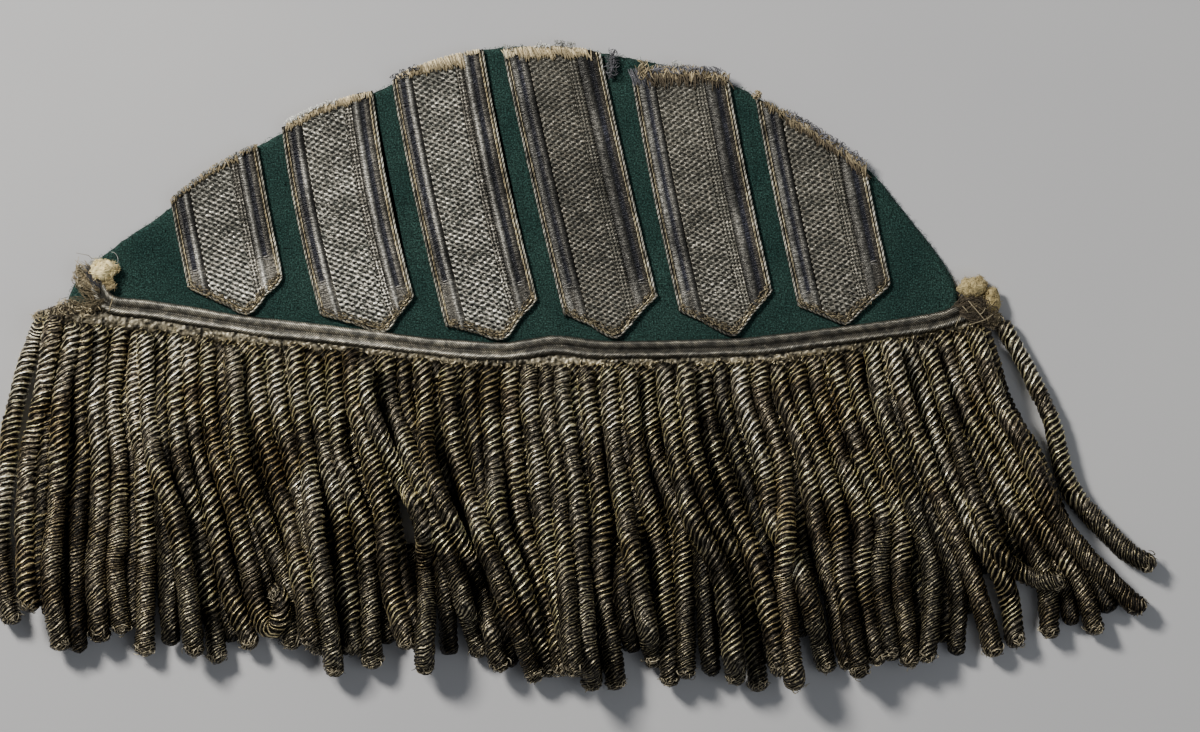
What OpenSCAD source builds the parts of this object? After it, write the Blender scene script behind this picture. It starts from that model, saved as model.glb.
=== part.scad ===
// Swallows nest: a bandsman's shoulder ornament of green cloth, metal lace and bullion fringe.
// It lies flat on its back. X runs along the nest, Y from the fringe up to the crown, Z up.
// The origin is on the back of the cloth, where it is sewn down.

/* [Cloth] */
// Thickness of the wool cloth
cloth_t = 2.0; // [1.2:0.1:3]

/* [Lace stripes] */
// Width of the lace over its corded edges
lace_w = 22.1; // [19:0.1:22.4]
// Thickness of the woven ground
lace_t = 0.9; // [0.6:0.1:1.4]
// Width of the corded edge
lace_edge_w = 1.8; // [1:0.1:3]
// Height of the corded edge over the woven ground
lace_edge_h = 0.3; // [0.1:0.05:0.6]
// Rise of the raw top of a stripe in its middle
lace_top_rise = 1.0; // [0:0.1:1.4]

/* [Edge braid] */
// Width over both ridges
braid_w = 4.4; // [3.4:0.1:4.8]
// Height of the ridges
braid_h = 2.0; // [1.2:0.1:2.6]

/* [Fringe] */
// Depth of the woven heading, from the seam to the strand roots
head_w = 5.0; // [4:0.1:6]
// Diameter of one bullion strand
strand_d = 4.3; // [3.6:0.1:4.6]
// Height of the skirt where it is two strands deep
skirt_h = 8.2; // [7:0.1:9]
// Height of the skirt at its roots
root_h = 4.2; // [3.4:0.1:5]
// Depth of the groove between two neighbouring strands
groove = 1.3; // [0.6:0.1:1.8]
// How much shorter the skirt is between two strand ends
notch = 2.6; // [1:0.1:4]

/* [Wadding] */
// Radius of the tuft at the left end
tuft_left_r = 2.1; // [1.4:0.1:2.4]
// Radius of the tuft at the right end
tuft_right_r = 2.5; // [1.6:0.1:2.6]

/* [Hidden] */

// Clearance between two pieces that lie on or beside each other
gap = 0.1;
// Clearance between the heading and the roots of the strands
root_gap = 0.4;
// Smoothing steps between two points of an outline
steps = 3;
// Sides of a strand that lies apart
strand_sides = 8;
// Straight stretches of a bowed side of the lace
side_steps = 5;

// Crown of the cloth, from its left corner to its right one: x, y
crown = [
    [-108.8, -16.9], [-106.5, -11.5], [-103, -7.2], [-94, -1.4], [-83.5, 5.8], [-72.5, 14],
    [-61.5, 21], [-48.5, 27.4], [-36, 32.8], [-24.5, 38], [-13, 41.8], [1, 42.6],
    [15, 41.4], [29, 38.6], [46.5, 33.6], [52, 30.6], [64.5, 23.2], [75.5, 16],
    [84.5, 5.8], [91.5, -3], [96, -9.4], [98.2, -14], [98.6, -18.2]
];

// Seam where the cloth meets the heading, from left to right: x, y
seam = [
    [-108.8, -17.2], [-103, -17.2], [-97, -17.1], [-83.5, -18.9], [-66, -21.8], [-47, -23.8],
    [-24.5, -26.4], [-10, -28], [-1.5, -27.7], [6, -26.9], [13, -27.7], [19.5, -28.2],
    [33.5, -27.3], [50.5, -26.8], [67, -24.9], [84.5, -22.4], [98.6, -19.2]
];

// Ends of the heading past the cloth: x, y
head_left = [-115.6, -19.4];
head_right = [105.4, -18.9];

// Centre line of the braid, from its turned-up left end: x, y
braid_line = [
    [-101.5, -12.2], [-101.3, -14.2], [-100, -16], [-97.5, -17], [-90.5, -17.9],
    [-83.5, -18.9], [-66, -21.8], [-47, -23.8], [-24.5, -26.4], [-10, -28.2], [-1.5, -27.7],
    [6, -26.8], [13, -27.8], [19.5, -28.3], [33.5, -27.3], [50.5, -26.8], [67, -24.9],
    [84.5, -22.4], [94, -20.8], [100.5, -18.8]
];

// Lace stripes: tip x and y, lean, how far right of the tip the middle lies, how far the stripe
// bows aside halfway up, and how high over the tip its left and right corners and its left and
// right top ends lie
stripes = [
    [-66.7, -19.3, 11.3, -1.2,  -0.2, 8.3, 6.1, 28.9, 37.7],
    [-35.2, -22.7, 12.0, -2.0,  -1.3, 5.9, 5.5, 50.4, 54.1],
    [ -7.7, -25.4, 12.6, -0.7,  -0.9, 6.1, 7.5, 64.7, 66.7],
    [ 19.0, -25.2, 13.2,  0.45, -0.4, 8.8, 7.7, 71.2, 65.8],
    [ 46.3, -24.3, 11.9, -0.15, -0.6, 7.9, 8.2, 62.6, 57.7],
    [ 72.1, -21.6, 11.8,  1.25, -0.4, 6.1, 6.5, 55.6, 34.8]
];

// Heights in Y at which the locks of the fringe are placed, below the roots
levels = [-39.4, -53.4, -67.3, -81.2];

// Locks of the fringe: x at the root, x at each of the levels, tip x, tip y, number of
// strands up to the next lock
locks = [
    [-111,   -114,   -117.5, -118,   -117.5, -116.5,  -88.5, 1],
    [-106.5, -109.5, -110.5, -111,   -112,   -109.5,  -97.5, 2],
    [-100.5, -102,   -100.5, -101,   -102,   -100.5,  -95.5, 2],
    [ -91.5,  -92.5,  -90.5,  -90,    -90.5,  -90.5,  -99,   1],
    [ -87,    -84.5,  -82,    -78.5,  -76.5,  -73.5, -100.5, 3],
    [ -75.5,  -76,    -73.5,  -69,    -65.5,  -63,    -97.5, 3],
    [ -65,    -64.5,  -61.5,  -57,    -54,    -51.5,  -97.5, 3],
    [ -55.5,  -55,    -52.5,  -51,    -49,    -46.5, -103.5, 2],
    [ -46.5,  -46,    -45,    -40.5,  -38.5,  -38,   -102,   2],
    [ -39,    -38.5,  -33,    -26,    -25,    -25.5, -102.5, 3],
    [ -26.5,  -25.5,  -24.5,  -19.5,  -13,     -8,   -102.5, 2],
    [ -20,    -20,    -18,    -13.5,   -8,      0.5, -104.5, 3],
    [ -10.5,  -11,     -9.5,   -8.5,   -3.5,    4,   -103.5, 2],
    [  -1,     -1.5,    0.5,    2,      4.5,    9.5, -101.5, 3],
    [  12,     12.5,   14,     15.5,   15.5,   19,   -106.5, 3],
    [  21.5,   22,     24,     27.5,   30,     31.5, -106,   2],
    [  30,     30.5,   33,     36.5,   43.5,   46.5, -105,   2],
    [  39,     39,     42,     47,     52.5,   57,   -103,   3],
    [  52,     52.5,   57,     58,     58.5,   61,   -106,   2],
    [  60.5,   62,     66.5,   70.5,   71.5,   75.5, -104,   2],
    [  69,     71.5,   76,     80.5,   80,     83,   -100,   2],
    [  77.5,   80,     84,     88.5,   92,     91,   -100,   1],
    [  81.5,   85.5,   90,     95.5,  101.5,  107,    -99,   3],
    [  94,     99,    106,    112,    118.5,  119.5,  -95,   1],
    [ 102.5,  107,    110.5,  116.5,  125.5,  130.5,  -94,   1],
    [ 105.5,  110,    114.5,  121,    133,    141.5,  -88.5, 0]
];

// Routes of the two strands that lie apart: x, y, z
left_route = [
    [-115.6, -24.8, 2.4], [-116.6, -27.5, 2.2], [-118.8, -32.5, 2.2], [-120.2, -39.4, 2.2],
    [-121.8, -48.7, 2.2], [-122.6, -58, 2.2], [-123.8, -67.3, 2.2], [-123.8, -74.2, 2.2],
    [-123.1, -81.2, 2.2], [-121.8, -87.2, 2.2], [-121.4, -90.4, 2.2]
];
stray_route = [
    [108, -19.6, 2.4], [110, -23, 2.3], [113, -29.2, 2.2], [115.2, -34.8, 2.2],
    [117.8, -40, 2.2], [119.8, -45.2, 2.2], [121.1, -49.5, 2.2], [122, -53.4, 2.2],
    [122.9, -57.3, 2.2], [124.8, -61.2, 2.2], [128.2, -65.4, 2.2], [132.4, -69.4, 2.2],
    [137.2, -73.3, 2.2], [142.4, -76.6, 2.2]
];

// Point at the share t of the curve that runs smoothly through the points p, past point i
function on_curve(p, i, t) =
    let(
        a = p[max(i - 1, 0)],
        b = p[i],
        c = p[min(i + 1, len(p) - 1)],
        d = p[min(i + 2, len(p) - 1)]
    )
    0.5 * (2 * b + (c - a) * t + (2 * a - 5 * b + 4 * c - d) * t * t
        + (3 * b - a - 3 * c + d) * t * t * t);

// Smooth curve through the points p with n steps between two of them
function smooth(p, n = steps) = concat(
    [for (i = [0 : len(p) - 2]) for (s = [0 : n - 1]) on_curve(p, i, s / n)],
    [p[len(p) - 1]]
);

function reverse(p) = [for (i = [len(p) - 1 : -1 : 0]) p[i]];

// Curve moved by dy, which is how the heading follows the seam
function shifted(p, dy) = [for (q = p) [q[0], q[1] + dy]];

// Ring of a swept profile at station i of the line: across is x of the profile, up is its y,
// and the profile is scaled by size
function ring(line, i, profile, size) =
    let(
        a = line[max(i - 1, 0)],
        b = line[min(i + 1, len(line) - 1)],
        dir = [b[0] - a[0], b[1] - a[1]] / norm([b[0] - a[0], b[1] - a[1]]),
        z = len(line[i]) > 2 ? line[i][2] : 0
    )
    [
        for (q = profile * size)
            [line[i][0] - dir[1] * q[0], line[i][1] + dir[0] * q[0], z + q[1]]
    ];

// Closed solid of a profile carried along a line in the XY plane, scaled by its size at each
// station
module sweep(line, profile, sizes) {
    n = len(profile);
    m = len(line);
    points = [for (i = [0 : m - 1]) each ring(line, i, profile, sizes[i])];
    sides = [
        for (i = [0 : m - 2]) for (j = [0 : n - 1])
            let(k = (j + 1) % n)
            each [
                [i * n + j, (i + 1) * n + j, i * n + k],
                [(i + 1) * n + j, (i + 1) * n + k, i * n + k]
            ]
    ];
    start = [[for (j = [0 : n - 1]) j]];
    end = [[for (j = [n - 1 : -1 : 0]) (m - 1) * n + j]];
    polyhedron(points, concat(sides, start, end));
}

// Round profile of a strand
strand_ring = [
    for (j = [0 : strand_sides - 1])
        let(a = -360 * (j + 0.5) / strand_sides)
        strand_d / 2 * [cos(a), sin(a)]
];

// Rounded end of a strand: share of the radius to go on, share of the radius left there
round_end = [[0.5, 0.87], [0.85, 0.53]];

module lone_strand(route) {
    line = smooth(route, 2);
    last = line[len(line) - 1];
    dir = (last - line[len(line) - 2]) / norm(last - line[len(line) - 2]);
    sweep(
        concat(line, [for (e = round_end) last + dir * strand_d / 2 * e[0]]),
        strand_ring,
        concat([for (q = line) 1], [for (e = round_end) e[1]])
    );
}

// Two round ridges side by side over a thinner web
function ridge_z(a) =
    let(r = braid_w / 4, s = (abs(a) - r) / r)
    braid_h * max(0.6, sqrt(max(0, 1 - s * s)));

braid_steps = 12;
braid_profile = concat(
    [[braid_w / 2, 0]],
    [
        for (k = [0 : braid_steps])
            let(a = braid_w * (0.5 - k / braid_steps))
            [a * 0.98, ridge_z(a)]
    ],
    [[-braid_w / 2, 0]]
);

// Place of a point of a stripe at x and y of its own frame, moved aside as the stripe bows
function bowed(row, x, y) =
    let(t = y / max(row[7], row[8]))
    [x + row[4] * 4 * t * (1 - t), y];

// Outline of a lace stripe in its own frame, tip at the origin, drawn in by inset at its sides
// and point and carried past the raw top edge by over
function lace_outline(row, inset = 0, over = 0) =
    let(
        left = row[3] - lace_w / 2 + inset,
        right = row[3] + lace_w / 2 - inset,
        corner_l = row[5] + inset / 2,
        corner_r = row[6] + inset / 2,
        top_l = row[7] + over,
        top_r = row[8] + over
    )
    concat(
        [[0, inset * 1.3]],
        [for (k = [0 : side_steps]) bowed(row, right, corner_r + (top_r - corner_r) * k / side_steps)],
        [bowed(row, row[3], (top_l + top_r) / 2 + lace_top_rise)],
        [for (k = [side_steps : -1 : 0]) bowed(row, left, corner_l + (top_l - corner_l) * k / side_steps)]
    );

module lace_stripe(number) {
    row = stripes[number - 1];
    color("#8f8776")
    translate([row[0], row[1], cloth_t + gap])
    rotate([0, 0, row[2]]) {
        linear_extrude(lace_t) polygon(lace_outline(row));
        linear_extrude(lace_t + lace_edge_h)
        difference() {
            polygon(lace_outline(row));
            polygon(lace_outline(row, lace_edge_w, lace_edge_w * 2));
        }
    }
}

module cloth_base() {
    color("#12362c")
    linear_extrude(cloth_t)
    polygon(concat(smooth(crown), reverse(smooth(seam))));
}

module edge_braid() {
    color("#7d766c")
    translate([0, 0, cloth_t + gap])
    sweep(smooth(braid_line, 2), braid_profile, [for (q = smooth(braid_line, 2)) 1]);
}

head_line = concat([head_left], shifted(smooth(seam), -2 * gap), [head_right]);

module fringe_head() {
    color("#9a8a5e")
    linear_extrude(cloth_t)
    polygon(concat(head_line, reverse(shifted(head_line, -head_w))));
}

// A lock of the skirt at the share t between rows i and i + 1 of the table
function between(i, t) =
    let(a = locks[i], b = locks[min(i + 1, len(locks) - 1)])
    [for (k = [0 : 6]) a[k] + (b[k] - a[k]) * t];

// Every strand of the skirt and the grooves beside it: half steps, odd ones are crests
strands = concat(
    [
        for (i = [0 : len(locks) - 2]) for (s = [0 : locks[i][7] - 1])
            between(i, s / locks[i][7])
    ],
    [between(len(locks) - 1, 0)]
);
columns = concat(
    [[strands[0], -strand_d / 2, false]],
    [
        for (i = [0 : len(strands) - 1]) each concat(
            [[strands[i], 0, true]],
            i < len(strands) - 1 ? [[(strands[i] + strands[i + 1]) / 2, 0, false]] : []
        )
    ],
    [[strands[len(strands) - 1], strand_d / 2, false]]
);

// Height of the skirt at each row of a column: root, the four levels, tip
crest_h = [root_h, skirt_h - 0.8, skirt_h, skirt_h, skirt_h - 1, strand_d];

// Points of one column at height z or at its own crest heights
function column_points(col, top) =
    let(
        x = col[0],
        side = col[1],
        crest = col[2],
        root_y = lookup(x[0] + side, head_line) - head_w - root_gap,
        y = concat([root_y], levels, [x[6] + (crest ? 0 : notch)])
    )
    [
        for (r = [0 : 5])
            [x[r] + side, y[r], top ? crest_h[r] - (crest ? 0 : groove) : 0]
    ];

module bullion_fringe() {
    n = len(columns);
    rows = 6;
    top = [for (c = columns) each column_points(c, true)];
    bottom = [for (c = columns) each column_points(c, false)];
    base = n * rows;
    top_faces = [
        for (i = [0 : n - 2]) for (r = [0 : rows - 2])
            let(a = i * rows + r, b = a + rows)
            each [[a, b, a + 1], [b, b + 1, a + 1]]
    ];
    root_faces = [
        for (i = [0 : n - 2])
            let(a = i * rows, b = a + rows)
            each [[a, base + a, b], [b, base + a, base + b]]
    ];
    tip_faces = [
        for (i = [0 : n - 2])
            let(a = i * rows + rows - 1, b = a + rows)
            each [[a, b, base + a], [b, base + b, base + a]]
    ];
    last = (n - 1) * rows;
    side_faces = [
        for (r = [0 : rows - 2]) each [
            [r, r + 1, base + r], [r + 1, base + r + 1, base + r],
            [last + r, base + last + r, last + r + 1],
            [last + r + 1, base + last + r, base + last + r + 1]
        ]
    ];
    floor_faces = [
        for (i = [0 : n - 2]) for (r = [0 : rows - 2])
            let(a = base + i * rows + r, b = a + rows)
            each [[a, a + 1, b], [b, a + 1, b + 1]]
    ];
    color("#5a4c33")
    polyhedron(
        concat(top, bottom),
        concat(top_faces, root_faces, tip_faces, side_faces, floor_faces)
    );
}

module left_end_strand() {
    color("#5a4c33") lone_strand(left_route);
}

module stray_strand() {
    color("#6b5c40") lone_strand(stray_route);
}

// Lump of wadding: a hull over balls at x, y, z, radius
module wadding(balls) {
    hull()
    for (b = balls) translate([b[0], b[1], b[2]]) sphere(r = b[3], $fn = 20);
}

module wadding_left() {
    r = tuft_left_r;
    z = cloth_t + gap + r;
    color("#d8d0b8")
    wadding([[-101.3, -8.9, z, r * 0.9], [-99, -8.6, z - 0.1, r * 0.95], [-99.6, -7.4, z, r * 0.8]]);
}

module wadding_right() {
    r = tuft_right_r;
    color("#b9a673")
    wadding([[101.4, -13.5, r, r], [103.6, -14.2, r, r * 0.9], [105.4, -16.6, r * 0.8, r * 0.76]]);
}

cloth_base();
lace_stripe(1);  // lace_stripe_1
lace_stripe(2);  // lace_stripe_2
lace_stripe(3);  // lace_stripe_3
lace_stripe(4);  // lace_stripe_4
lace_stripe(5);  // lace_stripe_5
lace_stripe(6);  // lace_stripe_6
edge_braid();
fringe_head();
bullion_fringe();
left_end_strand();
stray_strand();
wadding_left();
wadding_right();
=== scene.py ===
import bpy
import numpy as np
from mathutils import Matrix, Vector


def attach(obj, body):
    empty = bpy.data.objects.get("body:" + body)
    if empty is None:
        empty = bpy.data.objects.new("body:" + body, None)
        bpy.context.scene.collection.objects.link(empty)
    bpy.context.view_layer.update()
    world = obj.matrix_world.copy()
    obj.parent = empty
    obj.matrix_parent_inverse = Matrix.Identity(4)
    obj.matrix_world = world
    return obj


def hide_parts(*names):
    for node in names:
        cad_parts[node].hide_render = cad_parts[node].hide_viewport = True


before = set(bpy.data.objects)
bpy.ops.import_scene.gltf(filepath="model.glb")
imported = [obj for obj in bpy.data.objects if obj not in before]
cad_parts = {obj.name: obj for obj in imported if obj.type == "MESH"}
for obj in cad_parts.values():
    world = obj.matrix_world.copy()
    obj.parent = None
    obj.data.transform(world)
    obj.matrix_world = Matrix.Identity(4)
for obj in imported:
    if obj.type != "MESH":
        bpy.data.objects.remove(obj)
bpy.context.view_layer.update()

# Scale of the work: every shape below is worked out in millimetres
MM = 0.001
FULL_TURN = 2 * np.pi
# Added to a length before it is divided by
TINY = 1e-9
# Millimetres of the nest to one pixel of the 1200 by 732 photo, and the pixel over the origin
PIXEL = 0.232
ORIGIN_PIXEL = (535, 230)
PHOTO_CENTRE = (600, 366)
PHOTO_WIDTH = 1200

# Heights over the table
CLOTH_TOP = 2.0
LACE_BACK = 2.0
LACE_TOP = LACE_BACK + 0.44
BRAID_BACK = 2.1
# Radius of a strand, and how much thicker it is in its lower half, where its twist has loosened
STRAND_RADIUS = 2.22
STRAND_SWELL = 0.15


# Curves and grids

# Corners along each side of the lattice of random heights, before it repeats
LATTICE = 97


def place(pixels):
    """Pixels of the photo as millimetres of the nest: across from the origin and up from it."""
    p = np.array(pixels, float)
    p[..., 0] = (p[..., 0] - ORIGIN_PIXEL[0]) * PIXEL
    p[..., 1] = (ORIGIN_PIXEL[1] - p[..., 1]) * PIXEL
    return p


def travelled(curve):
    """Length of the curve up to each of its points."""
    return np.concatenate([[0], np.cumsum(np.linalg.norm(np.diff(curve, axis=0), axis=1))])


def even(curve, step):
    """The same curve with its points spaced evenly, about step apart."""
    s = travelled(curve)
    at = np.linspace(0, s[-1], max(int(round(s[-1] / step)), 2) + 1)
    return np.column_stack([np.interp(at, s, column) for column in curve.T])


def smooth_line(points, step=0.5):
    """Smooth curve through the points: between two of them each coordinate is a cubic whose
    slopes at the ends are half the step from the point before to the point after."""
    p = np.asarray(points, float)
    p = np.vstack([2 * p[0] - p[1], p, 2 * p[-1] - p[-2]])
    t = np.linspace(0, 1, 13)[None, :-1, None]
    a, b, c, d = p[:-3, None], p[1:-2, None], p[2:-1, None], p[3:, None]
    curve = 2 * b + (c - a) * t + (2 * a - 5 * b + 4 * c - d) * t ** 2
    curve = 0.5 * (curve + (3 * b - a - 3 * c + d) * t ** 3)
    return even(np.vstack([curve.reshape(-1, p.shape[1]), p[-2]]), step)


def blur(values, width):
    """Values along a line, each the bell-weighted mean of its neighbours within two widths."""
    reach = int(2 * width) + 1
    bell = np.exp(-0.5 * (np.arange(-reach, reach + 1) / width) ** 2)
    padded = np.pad(values, reach, mode="edge")
    return np.convolve(padded, bell / bell.sum(), mode="valid")


def drift(x, y, size, seed):
    """Soft random field between -1 and 1: random heights on a square lattice of that size, with
    an eased blend between its corners."""
    heights = np.random.default_rng(seed).uniform(-1, 1, (LATTICE, LATTICE))
    u, v = np.asarray(x, float) / size, np.asarray(y, float) / size
    i, j = np.floor(u).astype(int), np.floor(v).astype(int)
    u, v = u - i, v - j
    u, v = u * u * (3 - 2 * u), v * v * (3 - 2 * v)

    def corner(right, up):
        return heights[(i + right) % LATTICE, (j + up) % LATTICE]

    lower = corner(0, 0) * (1 - u) + corner(1, 0) * u
    upper = corner(0, 1) * (1 - u) + corner(1, 1) * u
    return lower * (1 - v) + upper * v


def drift_line(s, size, seed):
    """Soft random values along a length."""
    return drift(s, np.full_like(np.asarray(s, float), 0.5), size, seed)


def half_round(way):
    """Height of half a round of radius one, at a way from its middle."""
    return np.sqrt(np.clip(1 - way ** 2, 0, 1))


# Making meshes

def make_piece(name, points, faces, finish, maps=None, colours=None, nodes=()):
    """Mesh object of triangles. points are in millimetres, maps holds a pair of numbers for
    each corner of each face by name, and colours a colour for each point by name."""
    mesh = bpy.data.meshes.new(name)
    mesh.vertices.add(len(points))
    mesh.vertices.foreach_set("co", (points * MM).astype(np.float32).ravel())
    mesh.loops.add(faces.size)
    mesh.loops.foreach_set("vertex_index", faces.astype(np.int32).ravel())
    mesh.polygons.add(len(faces))
    mesh.polygons.foreach_set("loop_start", np.arange(len(faces), dtype=np.int32) * 3)
    mesh.polygons.foreach_set("use_smooth", np.ones(len(faces), bool))
    for label, pairs in (maps or {}).items():
        layer = mesh.uv_layers.new(name=label)
        layer.data.foreach_set("uv", pairs.astype(np.float32).reshape(-1))
    for label, rgb in (colours or {}).items():
        layer = mesh.attributes.new(label, "FLOAT_COLOR", "POINT")
        rgba = np.column_stack([np.clip(rgb, 0, None), np.ones(len(rgb))]).astype(np.float32)
        layer.data.foreach_set("color", rgba.ravel())
    mesh.update(calc_edges=True)
    mesh.validate()
    piece = bpy.data.objects.new(name, mesh)
    bpy.context.scene.collection.objects.link(piece)
    mesh.materials.append(finish)
    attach(piece, "root")
    if nodes:
        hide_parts(*nodes)
    return piece


def tidy(points, faces, *corner_values):
    """Drops triangles that have lost a corner and points that no triangle uses."""
    whole = faces[:, 0] != faces[:, 1]
    whole &= (faces[:, 1] != faces[:, 2]) & (faces[:, 2] != faces[:, 0])
    used, faces = np.unique(faces[whole], return_inverse=True)
    return (points[used], faces.reshape(-1, 3), used, *[v[whole] for v in corner_values])


def grid_triangles(rows, columns):
    """Row and column numbers of the corners of every triangle of a grid: two to a cell."""
    i, j = np.meshgrid(np.arange(rows - 1), np.arange(columns - 1), indexing="ij")
    i, j = i.ravel(), j.ravel()
    row = np.stack([i, i, i + 1, i, i + 1, i + 1], 1).reshape(-1, 3)
    column = np.stack([j, j + 1, j + 1, j, j + 1, j], 1).reshape(-1, 3)
    return row, column


def tube_triangles(rings, sides):
    """Triangles of a tube of rings, each of so many points, and of the fans that close it on
    the two points that come after the rings."""
    row, column = grid_triangles(rings, sides + 1)
    k = np.arange(sides)
    after = (k + 1) % sides
    last = (rings - 1) * sides
    pole = np.full(sides, rings * sides)
    return np.concatenate([
        row * sides + column % sides,
        np.stack([pole, after, k], 1),
        np.stack([pole + 1, last + k, last + after], 1),
    ])


def slab(xs, ys, low, high, top, back):
    """Closed sheet over columns xs and rows ys. Each column runs from low to high, two arrays
    of y at xs, and rows past those ends are drawn in to them. top(x, y) gives the height of
    the upper face, and back is the height of the flat lower face. Returns the points, the
    triangles, and x and y of each point."""
    first = np.clip(np.searchsorted(ys, low, side="right") - 1, 0, len(ys) - 1)
    last = np.clip(np.searchsorted(ys, high, side="left"), 0, len(ys) - 1)
    last = np.maximum(last, first + 1)
    columns, rows = np.arange(len(xs)), np.arange(len(ys))
    y = np.clip(ys[:, None], low[None], high[None])
    y[first, columns], y[last, columns] = low, high
    x = np.broadcast_to(xs[None], y.shape)
    z = top(x, y)
    ids = np.clip(rows[:, None], first[None], last[None]) * len(xs) + columns[None]
    count = y.size
    base_low, base_high = count + columns, count + len(xs) + columns
    x = np.concatenate([x.ravel(), xs, xs, np.full(len(ys), xs[0]), np.full(len(ys), xs[-1])])
    foot = count + 2 * len(xs)
    y = np.concatenate([y.ravel(), low, high, y[:, 0], y[:, -1]])
    z = np.concatenate([z.ravel(), np.full(len(x) - count, float(back))])
    row, column = grid_triangles(len(ys), len(xs))
    faces = [ids[row, column]]

    def band(a, b):
        return np.concatenate([
            np.stack([a[:-1], a[1:], b[1:]], 1),
            np.stack([a[:-1], b[1:], b[:-1]], 1),
        ])

    faces.append(band(base_low, ids[0]))
    faces.append(band(ids[-1], base_high))
    faces.append(band(base_high[1:-1], base_low[1:-1]))
    for column, beside, turn, start in ((0, 1, 1, foot), (-1, -2, -1, foot + len(ys))):
        side = np.where(rows <= first[column], base_low[column], start + rows)
        side = np.where(rows >= last[column], base_high[column], side)
        faces.append(band(ids[:, column], side)[:, ::turn])
        corner = np.full(len(side) - 1, base_low[beside])
        faces.append(np.stack([corner, side[:-1], side[1:]], 1)[:, ::turn])
        corner = [base_low[beside], base_high[column], base_high[beside]]
        faces.append(np.array([corner])[:, ::turn])
    points, faces, used = tidy(np.column_stack([x, y, z]), np.concatenate(faces))
    return points, faces, x[used], y[used]


def frames(path):
    """Level side vector and upright vector at each point of a path."""
    along = np.gradient(path, axis=0)
    along /= np.linalg.norm(along, axis=1)[:, None] + TINY
    side = np.column_stack([-along[:, 1], along[:, 0], np.zeros(len(path))])
    side /= np.linalg.norm(side, axis=1)[:, None] + TINY
    return side, np.cross(along, side)


def threads(paths, radius, colours, sides=4):
    """Round threads along paths, an array of a few points for each thread. A ring of points
    stands across the thread at each of them, six tenths as wide at its ends, and each end is
    closed in a point. radius and colours have a row for each thread. Returns the points, the
    triangles and the colour of each point."""
    paths = np.asarray(paths, float)
    count, rings = paths.shape[:2]
    radius = np.broadcast_to(np.asarray(radius, float), count)
    along = np.gradient(paths, axis=1)
    along /= np.linalg.norm(along, axis=2)[..., None] + TINY
    chord = paths[:, -1] - paths[:, 0]
    side = np.column_stack([-chord[:, 1], chord[:, 0] + 1e-4, np.zeros(count)])[:, None]
    side = side - (side * along).sum(2)[..., None] * along
    side /= np.linalg.norm(side, axis=2)[..., None] + TINY
    up = np.cross(along, side)
    turn = np.arange(sides) * FULL_TURN / sides
    narrow = np.ones(rings)
    narrow[[0, -1]] = 0.6
    size = radius[:, None, None, None] * narrow[None, :, None, None]
    ring = side[:, :, None] * np.cos(turn)[:, None] + up[:, :, None] * np.sin(turn)[:, None]
    ring = (paths[:, :, None] + size * ring).reshape(count, rings * sides, 3)
    tips = paths[:, [0, -1]] + along[:, [0, -1]] * np.array([[[-1.0], [1.0]]]) * size[:, 0]
    points = np.concatenate([ring, tips], 1)
    each = points.shape[1]
    faces = tube_triangles(rings, sides)[None] + np.arange(count)[:, None, None] * each
    rgb = np.repeat(np.broadcast_to(colours, (count, 3)), each, axis=0)
    return points.reshape(-1, 3), faces.reshape(-1, 3), rgb


def arcs(middles, headings, lengths, bends, rise, steps=5):
    """Paths of short bent threads: each runs half its length either way from its middle along
    its heading, bends aside and rises as one less the square of the way along it."""
    t = np.linspace(-1, 1, steps)[None, :, None]
    ahead = np.stack([np.cos(headings), np.sin(headings), 0 * headings], 1)[:, None]
    aside = np.stack([-np.sin(headings), np.cos(headings), 0 * headings], 1)[:, None]
    path = middles[:, None] + ahead * t * (lengths / 2)[:, None, None]
    path = path + aside * (1 - t ** 2) * bends[:, None, None]
    path[..., 2] += rise[:, None] * (1 - t[..., 0] ** 2)
    return path


def strewn(rng, middles, headings, lengths, bends, rise, steps=5):
    """Paths of bent threads whose length, bend and rise are drawn at random, in that order,
    each between two limits."""
    drawn = [rng.uniform(low, high, len(middles)) for low, high in (lengths, bends, rise)]
    return arcs(middles, headings, *drawn, steps)


def gather(parts):
    """Several meshes, each (points, triangles, further rows to a point), as one."""
    start = np.cumsum([0] + [len(part[0]) for part in parts[:-1]])
    faces = np.concatenate([part[1] + n for part, n in zip(parts, start)])
    rows = [np.concatenate(column) for column in zip(*[(p[0], *p[2:]) for p in parts])]
    return rows[0], faces, *rows[1:]


# Finishes

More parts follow.
